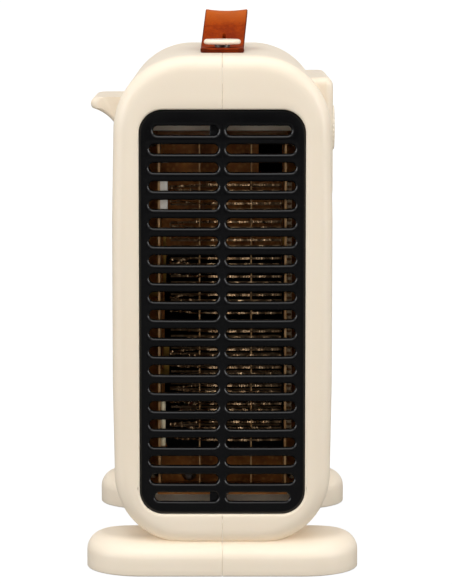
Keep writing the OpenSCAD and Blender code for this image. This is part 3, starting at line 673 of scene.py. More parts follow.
@dataclass
class Housing:
    """The two moulded halves with their feet, screw wells and front and rear openings."""

    face_edge: float = 7.5
    wall: float = 2.5
    top_r: float = 36.0
    bottom_r: float = 34.0
    swell: float = 0.8
    swell_r: float = 30.0
    half_w: float = 53.0
    half_l: float = 106.0
    low_z: float = 14.7
    lip: float = 0.9
    opening_r: float = 11.5
    opening_half: float = 40.0
    rim: float = 3.0
    seam: float = 0.34
    seam_reach: float = 0.42
    foot_r: float = 27.5
    foot_end: float = 39.0
    foot_top: float = 17.4
    foot_low: float = 0.3
    foot_edge: float = 8.8
    foot_slope: float = 1.0
    pocket_r: float = 22.9
    pocket_top: float = 12.2
    foot_y: float = 83.7
    well_r: float = 3.2
    well_seat: float = 12.0
    well_wall: float = 0.8
    well_sink: float = 1.2
    screw_y: float = 94.0
    screw_low: float = 4.6
    screw_high: float = 3.7
    dial_hole_r: float = 12.6
    dam_t: float = 2.0

    def __post_init__(self) -> None:
        """Read the CAD boxes that the outlines are tied to."""
        self.top_z = box_mm("shell_left")[1][2]
        self.front = box_mm("front_grille")
        self.rear = box_mm("rear_grille")
        mid = (self.top_z + self.low_z) / 2
        half = (self.top_z - self.low_z) / 6
        side = self.half_w - self.swell
        self.outline = HullOutline((
            (side - self.top_r, self.top_z - self.top_r, self.top_r),
            (side - self.bottom_r, self.low_z + self.bottom_r, self.bottom_r),
            (self.half_w - self.swell_r, mid + half, self.swell_r),
            (self.half_w - self.swell_r, mid - half, self.swell_r)), mid)
        self.front_opening = self.opening(self.front, mid)
        self.rear_opening = self.opening(self.rear, mid)
        low = self.low_z + self.wall + self.screw_low
        high = self.front[1][2] - self.rim - self.screw_high
        self.screws = [(0.0, low)] + [(s * self.screw_y, z) for s in (-1, 1) for z in (low, high)]

    def opening(self, box: np.ndarray, mid: float) -> HullOutline:
        """Outline of the opening that a grille shows in."""
        x, r = self.opening_half - self.opening_r, self.opening_r
        return HullOutline(((x, box[1][2] - self.rim - r, r), (x, box[0][2] + self.rim + r, r)), mid)

    def groove(self, x: np.ndarray) -> np.ndarray:
        """Depth of the seam's rounded edge: seam (1 - |x| / reach) squared."""
        return self.seam * np.clip(1 - np.abs(x) / self.seam_reach, 0, 1) ** 2

    def seam_steps(self) -> np.ndarray:
        """Distances from the middle plane at which the seam's edge is drawn."""
        return np.array([0.03, 0.10, 0.20, 0.31, self.seam_reach])

    def angles(self) -> np.ndarray:
        """Angles of the housing's columns, closer at the corners and at the seam."""
        reach = self.top_z - self.outline.centre_z
        near = self.seam_steps() / reach
        inner = np.concatenate([o.spaced(110) for o in (self.outline, self.front_opening, self.rear_opening)])
        inner = np.unique(np.round(inner, 4))
        inner = inner[(inner > near[-1] * 2) & (inner < math.pi - near[-1] * 2)]
        keep = np.concatenate([[True], np.diff(inner) > 0.003])
        return np.concatenate([near, inner[keep], math.pi - near[::-1]])

    def wall_rows(self, theta: np.ndarray) -> np.ndarray:
        """Rows of the closed wall section: opening edge, front face, edge rounding, side, and back inside.

        Roundings follow inset r (1 - sin t) at depth r (1 - cos t).
        """
        spot, way = self.outline.at(theta)
        hole, out = self.front_opening.at(theta)
        back_hole, back_out = self.rear_opening.at(theta)
        dip = self.groove(spot[:, 0])
        rows = []

        def row(flat: np.ndarray, y: float, sink: float = 0.0, sink_y: float = 0.0) -> None:
            """Add one row, drawn in at the seam along the surface's normal."""
            flat = flat - way * (dip * sink)[:, None]
            rows.append(np.stack([flat[:, 0], y + sink_y * dip, flat[:, 1]], -1))

        def edge(size: float, inset: float, y: float, toward: float, outward: bool, sink: float) -> None:
            """Add the rounding at one end; toward is +1 from the front and -1 from the rear."""
            turns = quarter(8) if outward else quarter(8)[::-1]
            for t in turns:
                row(spot - way * (inset + size * (1 - math.sin(t))), y + toward * size * (1 - math.cos(t)),
                    sink * math.sin(t), sink * toward * math.cos(t))

        def mouth(edge_line: np.ndarray, normal: np.ndarray, y: float, toward: float) -> list:
            """Rows of an opening's lip, from its inner edge to the face."""
            lip = [(edge_line, y + toward * self.wall, 0.0), (edge_line, y + toward * self.lip, 0.0)]
            for t in (0.5, 1.0, math.pi / 2):
                line = edge_line + normal * self.lip * (1 - math.cos(t))
                lip.append((line, y + toward * self.lip * (1 - math.sin(t)), toward * math.sin(t)))
            face = spot - way * self.face_edge
            start = edge_line + normal * self.lip
            return lip + [(start + (face - start) * k, y, toward) for k in (0.3, 0.65)]

        front, rear = -self.half_l, self.half_l
        for flat, y, sink_y in mouth(hole, out, front, 1.0):
            row(flat, y, 0.0, sink_y)
        edge(self.face_edge, 0.0, front, 1.0, True, 1.0)
        for y in np.linspace(front + self.face_edge, rear - self.face_edge, 11)[1:-1]:
            row(spot, y, 1.0)
        edge(self.face_edge, 0.0, rear, -1.0, False, 1.0)
        for flat, y, sink_y in mouth(back_hole, back_out, rear, -1.0)[::-1]:
            row(flat, y, 0.0, sink_y)
        inner = self.face_edge - self.wall
        edge(inner, self.wall, rear - self.wall, -1.0, True, 0.0)
        for y in np.linspace(rear - self.face_edge, front + self.face_edge, 5)[1:-1]:
            row(spot - way * self.wall, y)
        edge(inner, self.wall, front + self.wall, 1.0, False, 0.0)
        return np.stack(rows)

    def foot(self, skin: Skin, side: Side, centre_y: float) -> None:
        """Add half a foot: a stadium with a rounded top and a pocket below.

        A point is P(u) - N(u) d at height z, for (d, z) along the profile; the top's
        rounding is stretched inward by 1 + slope |N_y| cubed, so the long sides slope more.
        """
        straight = np.concatenate([self.seam_steps(), np.linspace(3, self.foot_end, 9)])
        arc = np.linspace(-math.pi / 2, math.pi / 2, 41)[1:-1]
        r = self.foot_r
        path = np.concatenate([np.stack([straight, np.full(straight.size, -r)], -1),
                               np.stack([self.foot_end + r * np.cos(arc), r * np.sin(arc)], -1),
                               np.stack([straight[::-1], np.full(straight.size, r)], -1)])
        normal = np.concatenate([np.tile([0.0, -1.0], (straight.size, 1)),
                                 np.stack([np.cos(arc), np.sin(arc)], -1),
                                 np.tile([0.0, 1.0], (straight.size, 1))])
        dip = self.groove(path[:, 0])
        wide = 1 + self.foot_slope * np.abs(normal[:, 1]) ** 3
        low, top, edge, lip = self.foot_low, self.foot_top, self.foot_edge, 0.7
        profile = [(r, self.pocket_top, 0, 0), (r - self.pocket_r, self.pocket_top, 0, 0),
                   (r - self.pocket_r, low + 0.2, 0, 0), (r - self.pocket_r - 0.2, low, 0, 1),
                   (lip + 0.6, low, 0, 1)]
        profile += [(lip * (1 - math.sin(t)), low + lip * (1 - math.cos(t)), math.sin(t), math.cos(t))
                    for t in quarter(4)]
        profile += [(0, z, 1, 0) for z in np.linspace(low + lip, top - edge, 4)[1:]]
        turn = len(profile)
        profile += [(edge * (1 - math.cos(t)), top - edge + edge * math.sin(t), math.cos(t), -math.sin(t))
                    for t in quarter(10)[1:]]
        end = len(profile)
        profile += [(0.9 * r, top, 0, -1), (r, top, 0, -1)]
        rows = []
        for index, (inset, z, sink, sink_z) in enumerate(profile):
            inset = inset * wide if turn <= index < end else inset
            flat = path - normal * (inset + dip * sink)[:, None]
            rows.append(np.stack([flat[:, 0] * side.value, flat[:, 1] + centre_y, z + dip * sink_z], -1))
        start = skin.grid(np.stack(rows))
        cols, count = len(path), len(rows)
        first = start + np.arange(count) * cols
        skin.cap(np.concatenate([first, (first + cols - 1)[::-1]]))

    def half(self, side: Side) -> bpy.types.Object:
        """One half of the body as a closed wall."""
        skin = Skin()
        rows = self.wall_rows(self.angles()) * np.array([side.value, 1, 1])
        start = skin.grid(rows, wrap_rows=True)
        cols = rows.shape[1]
        ids = start + np.arange(rows.shape[0]) * cols
        skin.cap(ids)
        skin.cap((ids + cols - 1)[::-1])
        return skin.object(f"body_{side.name.lower()}", merge=0.0005)

    def feet(self, side: Side) -> bpy.types.Object:
        """The front and rear foot of one half."""
        skin = Skin()
        for sign in (-1, 1):
            self.foot(skin, side, sign * self.foot_y)
        return skin.object(f"feet_{side.name.lower()}", merge=0.0005)

    def wells(self) -> bpy.types.Object:
        """Round pillars inside the left half, each open to the outside down to its screw's seat."""
        skin = Skin()
        points, _ = self.outline.at(np.linspace(0, math.pi, 800))
        outer = self.well_r + self.well_wall
        for y, z in self.screws:
            reach = [np.interp(-z - k * outer, -points[:, 1], points[:, 0]) for k in (-1, 1)]
            mouth = self.well_sink - float(min(reach))
            profile = [(0.02, -self.well_seat), (self.well_r, -self.well_seat), (self.well_r, mouth),
                       (outer, mouth), (outer, -0.3), (0.02, -0.3)]
            turned(skin, profile, Axis.X, (0, y, z), 40)
        return skin.object("screw_wells")

    def dam(self, side: Side) -> bpy.types.Object:
        """The walls of one half that close the way past the baffle plate, above and below it."""
        skin = Skin()
        plate = box_mm("baffle_plate")
        spot, way = self.outline.at(np.linspace(0, math.pi, 260))
        line = spot - way * (self.wall - 0.3)
        depth = np.array([plate[0][1], plate[0][1] + self.dam_t])
        for edge, kept in ((plate[1][2] + 0.25, line[:, 1] > plate[1][2] + 0.3),
                           (plate[0][2] - 0.25, line[:, 1] < plate[0][2] - 0.3)):
            part = line[kept]
            reach = part[np.argmin(np.abs(part[:, 1] - edge))][0]
            ends = [[reach, edge], [0.03, edge]] if edge > plate[0][2] else [[0.03, edge], [reach, edge]]
            part[:, 0] = np.maximum(part[:, 0], 0.03)
            loop = np.concatenate([part, ends]) * [side.value, 1]
            rings = [np.stack([loop[:, 0], np.full(len(loop), y), loop[:, 1]], -1) for y in depth]
            skin.tube(np.stack(rings))
        return skin.object(f"air_dam_{side.name.lower()}", merge=0.0005)

    def hole_cutter(self, places: list, radius: float, low: float, high: float) -> bpy.types.Object:
        """Cylinders along X that cut round holes at these (y, z) places."""
        skin = Skin()
        for y, z in places:
            flat = np.stack([circle_loop(radius, 40)] * 2)
            skin.tube(place(flat, np.array([low, high]), Axis.X, (0, y, z)))
        return skin.object("cutter")

    def build(self) -> None:
        """Make and dress both halves."""
        left, right = self.half(Side.LEFT), self.half(Side.RIGHT)
        cut(left, self.hole_cutter(self.screws, self.well_r, -70, -20))
        dial = box_mm("control_dial")
        middle = ((dial[0] + dial[1]) / 2)[1:]
        cut(right, self.hole_cutter([tuple(middle)], self.dial_hole_r, 46, 60))
        fit_out(left, CREAM, Body.HOUSING, "cream_plastic", "shell_left")
        fit_out(right, CREAM, Body.HOUSING, "cream_plastic", "shell_right")
        fit_out(self.feet(Side.LEFT), CREAM, Body.HOUSING, "cream_plastic", "shell_left")
        fit_out(self.feet(Side.RIGHT), CREAM, Body.HOUSING, "cream_plastic", "shell_right")
        fit_out(self.wells(), CREAM, Body.HOUSING, "cream_plastic", "shell_left")
        fit_out(self.dam(Side.LEFT), CREAM, Body.HOUSING, "cream_plastic", "shell_left")
        fit_out(self.dam(Side.RIGHT), CREAM, Body.HOUSING, "cream_plastic", "shell_right")


# ------------------------------------------------------------------ grilles


@dataclass
class Grille:
    """A slotted plate, front or rear: two columns of dished slots on a slightly crowned face."""

    name: str
    node: str
    rows: int
    facing: float
    rim: float = 3.0
    gap: float = 0.2
    corner: float = 11.3
    thick: float = 3.0
    pitch: float = 8.88
    base: float = 8.4
    slot_h: float = 4.4
    web: float = 4.2
    margin: float = 4.9
    dish: float = 1.55
    dish_end: float = 1.9
    dish_deep: float = 1.9
    rim_edge: float = 1.0
    bevel: float = 0.3
    crown: float = 1.1
    crown_reach: float = 17.0
    draw_run: float = 24.0
    draw: float = 6.0
    arc: int = 4
    straight: int = 8

    def __post_init__(self) -> None:
        """Read the plate's place from its CAD box."""
        box = box_mm(self.node)
        self.low, self.high = box[0][2] + self.rim + self.gap, box[1][2] - self.rim - self.gap
        self.half = box[1][0] - self.rim - self.gap
        self.face = (box[0][1] if self.facing < 0 else box[1][1])

    def row_z(self, index: int) -> float:
        """Height of a slot's middle."""
        return self.low - self.gap + self.base + index * self.pitch

    def slot_length(self, index: int) -> float:
        """Length of a slot: shorter near the plate's ends by draw ((run - d) / run) squared."""
        z = self.row_z(index)
        near = min(z - self.low, self.high - z) + self.gap
        full = self.half + self.gap - self.margin - self.web / 2
        return full - self.draw * (max(0.0, self.draw_run - near) / self.draw_run) ** 2

    def loop(self, low_x: float, high_x: float, z: float, half_h: float) -> np.ndarray:
        """Stadium from low_x to high_x, started at the lower left and run anticlockwise in matched steps."""
        r = half_h
        left, right = low_x + r, high_x - r

        def arc(centre: float, start: float, stop: float, steps: int) -> np.ndarray:
            """Points on an end's circle, without the last."""
            t = np.radians(np.linspace(start, stop, steps + 1)[:-1])
            return np.stack([centre + r * np.cos(t), z + r * np.sin(t)], -1)

        run = np.linspace(0, 1, self.straight + 1)[:-1, None]
        lower = np.array([left, z - r]) + (np.array([right, z - r]) - np.array([left, z - r])) * run
        upper = np.array([right, z + r]) + (np.array([left, z + r]) - np.array([right, z + r])) * run
        return np.concatenate([arc(left, 225, 270, self.arc), lower, arc(right, 270, 315, self.arc),
                               arc(right, -45, 45, 2 * self.arc), arc(right, 45, 90, self.arc), upper,
                               arc(left, 90, 135, self.arc), arc(left, 135, 225, 2 * self.arc)])

    def frame_line(self, index: int, inset: float) -> np.ndarray:
        """Edge of a slot's cell in the same steps as loop(); end cells follow the plate's round corners."""
        half, r = self.half - inset, self.corner - inset
        low, high = self.low + inset, self.high - inset
        across, up = 2 * self.arc + self.straight, 2 * self.arc
        z0 = low if index == 0 else self.row_z(index) - self.pitch / 2
        z1 = high if index == self.rows - 1 else self.row_z(index) + self.pitch / 2
        xs = np.linspace(0, half, across + 1)
        level = np.stack([xs, np.zeros(across + 1)], -1)
        upright = np.stack([np.full(up + 1, half), np.linspace(z0, z1, up + 1)], -1)
        lower, upper, side = level + [0, z0], level + [0, z1], upright
        bend = np.radians(np.linspace(0, 45, 7))
        corner = np.stack([half - r + r * np.cos(bend), r * np.sin(bend)], -1)
        flat = np.stack([np.linspace(0, half - r, across - 5), np.full(across - 5, 0.0)], -1)
        if index == self.rows - 1:
            side = np.concatenate([[[half, z0], [half, (z0 + high - r) / 2]], corner + [0, high - r]])
            rest = np.stack([half - r + r * np.sin(bend), high - r + r * np.cos(bend)], -1)
            upper = np.concatenate([flat + [0, high], rest[1:]])
        if index == 0:
            mirrored = corner * [1, -1] + [0, low + r]
            side = np.concatenate([mirrored[::-1], [[half, (z1 + low + r) / 2], [half, z1]]])
            rest = np.stack([half - r + r * np.sin(bend), low + r - r * np.cos(bend)], -1)
            lower = np.concatenate([flat + [0, low], rest[1:]])
        web = np.stack([np.zeros(up + 1), np.linspace(z1, z0, up + 1)], -1)
        return np.concatenate([lower[:-1], side[:-1], upper[::-1][:-1], web[:-1]])

    def put(self, flat: np.ndarray, depth: float | np.ndarray) -> np.ndarray:
        """Points of a row at a depth behind the face, which falls back near the plate's border.

        The crown is crown ((|x| - start) / reach) squared, and the same toward the top and bottom.
        """
        mid = (self.low + self.high) / 2
        reach = self.crown_reach
        side = np.clip(np.abs(flat[:, 0]) - (self.half - reach), 0, reach) / reach
        ends = np.clip(np.abs(flat[:, 1] - mid) - ((self.high - self.low) / 2 - reach), 0, reach) / reach
        fall = self.crown * (np.hypot(side, ends) ** 2).clip(0, 1.3)
        deep = depth + fall * np.clip(1 - np.asarray(depth) / self.thick, 0, 1)
        return np.stack([flat[:, 0], self.face - self.facing * deep, flat[:, 1]], -1)

    def cell(self, index: int, sign: int) -> np.ndarray:
        """Rows of one slot's cell: front edge, dished rounding, slot wall and back.

        The dish goes from the face in by dish (1 - sin t) at depth deep (1 - cos t).
        """
        z, length = self.row_z(index), self.slot_length(index)
        start = self.web / 2
        rows = [self.put(self.frame_line(index, self.rim_edge), 0.0)]
        for t in quarter(7):
            k = 1 - math.sin(t)
            wider = self.dish_end * k
            line = self.loop(start - wider, start + length + wider, z, self.slot_h / 2 + self.dish * k)
            rows.append(self.put(line, self.dish_deep * (1 - math.cos(t))))
        inner = self.loop(start, start + length, z, self.slot_h / 2)
        rows.append(self.put(inner, self.thick - self.bevel))
        outer = self.loop(start - self.bevel, start + length + self.bevel, z, self.slot_h / 2 + self.bevel)
        rows.append(self.put(outer, self.thick))
        rows.append(self.put(self.frame_line(index, self.rim_edge), self.thick))
        return np.stack(rows) * np.array([sign, 1, 1])

    def border(self) -> tuple[np.ndarray, np.ndarray]:
        """The plate's outline at the edge rounding's start, and its outward directions."""
        across, up = 2 * self.arc + self.straight, 2 * self.arc
        right = [self.frame_line(0, self.rim_edge)[:across]]
        right += [self.frame_line(i, self.rim_edge)[across:across + up] for i in range(self.rows)]
        right += [self.frame_line(self.rows - 1, self.rim_edge)[across + up:2 * across + up]]
        right.append(np.array([[0.0, self.high - self.rim_edge]]))
        line = np.concatenate(right)
        line = np.concatenate([line, (line * [-1, 1])[::-1][1:-1]])
        core = np.array([self.half - self.corner, (self.high - self.low) / 2 - self.corner])
        mid = np.array([0, (self.high + self.low) / 2])
        near = np.clip(line - mid, -core, core) + mid
        way = line - near
        return line, way / np.linalg.norm(way, axis=1, keepdims=True)

    def build(self) -> bpy.types.Object:
        """The whole plate with its holding flange and the two locating tongues."""
        skin = Skin()
        for index in range(self.rows):
            for sign in (-1, 1):
                skin.grid(self.cell(index, sign), wrap_cols=True)
        line, way = self.border()
        rim = self.rim_edge
        steps = [(rim * math.sin(t), rim * (1 - math.cos(t))) for t in quarter(5)]
        steps += [(rim, self.thick - 0.2), (rim - 0.2, self.thick), (0.0, self.thick)]
        skin.grid(np.stack([self.put(line + way * off, deep) for off, deep in steps]), wrap_cols=True)
        wide = self.rim + rim
        flange = [(0.4, 1.9), (wide - 0.3, 1.9), (wide, 2.2), (wide, self.thick - 0.1),
                  (0.4, self.thick - 0.1)]
        rows = np.stack([self.put(line + way * off, deep) for off, deep in flange])
        skin.grid(rows, wrap_rows=True, wrap_cols=True)
        if self.facing < 0:
            back = self.face + self.thick
            for index in (0, self.rows - 1):
                z = self.row_z(index)
                block(skin, (-6, back - 0.2, z - 3.2), (-2, back + 2.5, z + 3.2), 0.3)
        return skin.object(self.name, sharp=50.0)


# ------------------------------------------------------------------ strap


@dataclass
class Strap:
    """The leather carrying strap, its two buttons and their posts."""

    width: float = 21.4
    thick: float = 2.3
    flat: float = 25.0
    lean: float = 2.2
    dish: float = 0.9
    slit: float = 30.0
    slit_w: float = 1.6
    slit_x: float = 0.9
    slit_lap: float = 1.2
    hole_r: float = 4.3
    end_run: float = 3.5
    end_corner: float = 3.2
    steps: int = 220

    def __post_init__(self) -> None:
        """Read the strap's box and its buttons' places."""
        self.box = box_mm("strap")
        self.end = self.box[1][1]
        self.crown = self.box[1][2]
        self.base = self.box[0][2]
        buttons = box_mm("strap_buttons")
        self.button_r = (buttons[1][0] - buttons[0][0]) / 2
        self.button_y = buttons[1][1] - self.button_r
        self.button_z = buttons[0][2], buttons[1][2]

    def rise(self, y: np.ndarray) -> np.ndarray:
        """Share of the arch's height: c squared (1.25 - 0.25 c squared), c = cos(pi y / 2 half)."""
        half = self.end - self.flat
        c = np.cos(np.clip(y / half, -1, 1) * math.pi / 2) ** 2
        return c * (1.25 - 0.25 * c)

    def section(self) -> np.ndarray:
        """Round-edged section of the strap: across and up, in millimetres."""
        return rounded_loop(self.width, self.thick, 0.75, 5, 12)

    def leather(self) -> bpy.types.Object:
        """The strap: its section carried along the arch, across the path's normal and dished at the crown."""
        y = np.linspace(-self.end + 0.02, self.end - 0.02, self.steps)
        share = self.rise(y)
        height = (self.crown - self.base - self.thick - self.dish * 0.5) * share
        mid_z = self.base + self.thick / 2 + height
        slope = np.gradient(mid_z, y)
        scale = 1 / np.sqrt(1 + slope ** 2)
        section = self.section()
        half = self.width / 2
        # the last millimetres narrow to round corners
        from_end = np.clip((self.end - np.abs(y)) / self.end_run, 0, 1)
        narrow = 1 - (self.end_corner / half) * (1 - np.sqrt(1 - (1 - from_end) ** 2))
        thin = 1 - 0.35 * (1 - np.clip((self.end - np.abs(y)) / 0.8, 0, 1)) ** 2
        across = section[None, :, 0] * narrow[:, None]
        up = section[None, :, 1] * thin[:, None]
        curl = self.dish * share[:, None] * ((across / half) ** 2 - 0.5)
        rings = np.zeros((y.size, section.shape[0], 3))
        rings[..., 0] = across + self.lean * share[:, None]
        rings[..., 1] = y[:, None] - up * (slope * scale)[:, None]
        rings[..., 2] = mid_z[:, None] + up * scale[:, None] + curl
        edge = np.clip((np.abs(section[:, 0]) - half + 1.3) / 1.3, 0, 1) ** 2
        side = np.clip((np.abs(section[:, 0]) - half + 0.75) / 0.5, 0, 1) * 0.35
        tips = 1 - np.clip((self.end - np.abs(y)) / 1.2, 0, 1)
        mark = np.clip(0.55 * edge + side, 0, 0.85)[None, :] + 0.15 * tips[:, None]
        skin = Skin()
        skin.tube(rings, mark=np.clip(mark, 0, 0.9))
        piece = skin.object("strap_leather", sharp=60.0, merge=0.0005)
        slits = Skin()
        hole, slot = circle_loop(self.hole_r, 40), rounded_loop(self.slit_w, self.slit, 0.75, 4, 2)
        for sign in (-1, 1):
            hole_at = (0, sign * self.button_y, self.base)
            slits.tube(place(np.stack([hole, hole]), np.array([-3.0, 6.0]), Axis.Z, hole_at))
            slot_at = (self.slit_x, sign * (self.button_y + self.slit_lap - self.slit / 2), self.base)
            slits.tube(place(np.stack([slot, slot]), np.array([-3.0, 14.0]), Axis.Z, slot_at))
        cut(piece, slits.object("cutter"), 60.0)
        return piece

    def buttons(self) -> bpy.types.Object:
        """Both buttons: a flat disc with a full rim, a faint crown and a shallow ring on top."""
        skin = Skin()
        low, high = self.button_z
        r, half = self.button_r, (high - low) / 2
        t = np.linspace(-math.pi / 2, math.pi / 2, 15)
        rim = [(r - half + half * math.cos(a), half + half * math.sin(a)) for a in t]
        top = [(r * k, high - low - 0.12 + 0.12 * (1 - k ** 2)) for k in (0.75, 0.5, 0.25)]
        profile = [(0.02, 0.0)] + rim[:-1] + [(r - half, high - low - 0.12)] + top + [(0.02, high - low)]
        for sign in (-1, 1):
            turned(skin, profile, Axis.Z, (0, sign * self.button_y, low), 72)
        return skin.object("strap_button_pair", sharp=55.0)

    def posts(self) -> bpy.types.Object:
        """Both posts: a waisted collar under each button with two turned grooves, and the screw below."""
        skin = Skin()
        foot, head = self.top_z(), self.button_z[0]
        h = head - foot
        profile = [(0.02, -7.4), (1.9, -7.4), (2.0, -7.2), (2.0, 0.0), (3.6, 0.0), (3.9, 0.25),
                   (3.9, h * 0.62), (3.5, h * 0.66), (3.5, h * 0.74), (3.9, h * 0.78), (3.9, h - 0.3),
                   (3.6, h - 0.02), (0.02, h - 0.02)]
        for sign in (-1, 1):
            turned(skin, profile, Axis.Z, (0, sign * self.button_y, foot), 48)
        return skin.object("strap_post_pair", sharp=30.0)

    def top_z(self) -> float:
        """Height of the housing's top under the strap."""
        return box_mm("shell_left")[1][2] + 0.03

    def build(self) -> None:
        """Make and dress the strap's pieces."""
        fit_out(self.leather(), LEATHER, Body.HOUSING, "leather", "strap")
        fit_out(self.buttons(), CREAM_GLOSS, Body.HOUSING, "button_plastic", "strap_buttons")
        fit_out(self.posts(), POST, Body.HOUSING, "post_metal", "strap_posts")


# ------------------------------------------------------------------ side pieces


@dataclass
class GripLedge:
    """The moulded ledge on the left wall: flat top, round nose and a hollow cove below."""

    nose_r: float = 3.4
    inner_x: float = 44.0
    wall_x: float = 53.0
    end_r: float = 5.0
    cove_out: float = 17.6
    cove_drop: float = 25.0

    def build(self) -> None:
        """Make the ledge from profiles across Y, drawn back at both ends along a circle's arc."""
        low, high = box_mm("grip_ledge")
        tip, top = -low[0], high[2]
        end = high[1]
        nose_x, nose_z = tip - self.nose_r, top - self.nose_r
        cove = np.array([self.wall_x + self.cove_out, top - self.cove_drop])
        t = np.linspace(math.pi / 2, -0.75, 16)
        nose = np.stack([nose_x + self.nose_r * np.cos(t), nose_z + self.nose_r * np.sin(t)], -1)
        first = nose[-1] - cove
        stop = math.atan2(low[2] + 0.6 - cove[1], 47.5 - cove[0])
        turn = np.linspace(math.atan2(first[1], first[0]), stop % (2 * math.pi), 24)
        under = cove + np.hypot(*first) * np.stack([np.cos(turn), np.sin(turn)], -1)
        top_run = np.stack([np.linspace(self.inner_x, nose_x, 12)[:-1], np.full(11, top)], -1)
        profile = np.concatenate([top_run, nose, under[1:], [[self.inner_x, under[-1][1]]]])
        rounding = self.end_r * (1 - np.cos(quarter(9)))
        straight = np.linspace(-end + self.end_r, end - self.end_r, 13)[1:-1]
        y = np.concatenate([-end + rounding, straight, (end - rounding)[::-1]])
        from_end = np.clip(end - np.abs(y), 0, self.end_r)
        back = self.end_r - np.sqrt(np.clip(self.end_r ** 2 - (self.end_r - from_end) ** 2, 0, None))
        rings = np.zeros((y.size, len(profile), 3))
        share = np.clip((profile[:, 0] - self.inner_x) / (tip - self.inner_x), 0, 1)
        rings[..., 0] = -(profile[None, :, 0] - back[:, None] * share[None, :])
        rings[..., 1] = y[:, None]
        rings[..., 2] = profile[None, :, 1]
        skin = Skin()
        skin.tube(rings)
        piece = skin.object("grip_ledge_nose", sharp=55.0)
        fit_out(piece, CREAM, Body.HOUSING, "cream_plastic", "grip_ledge")


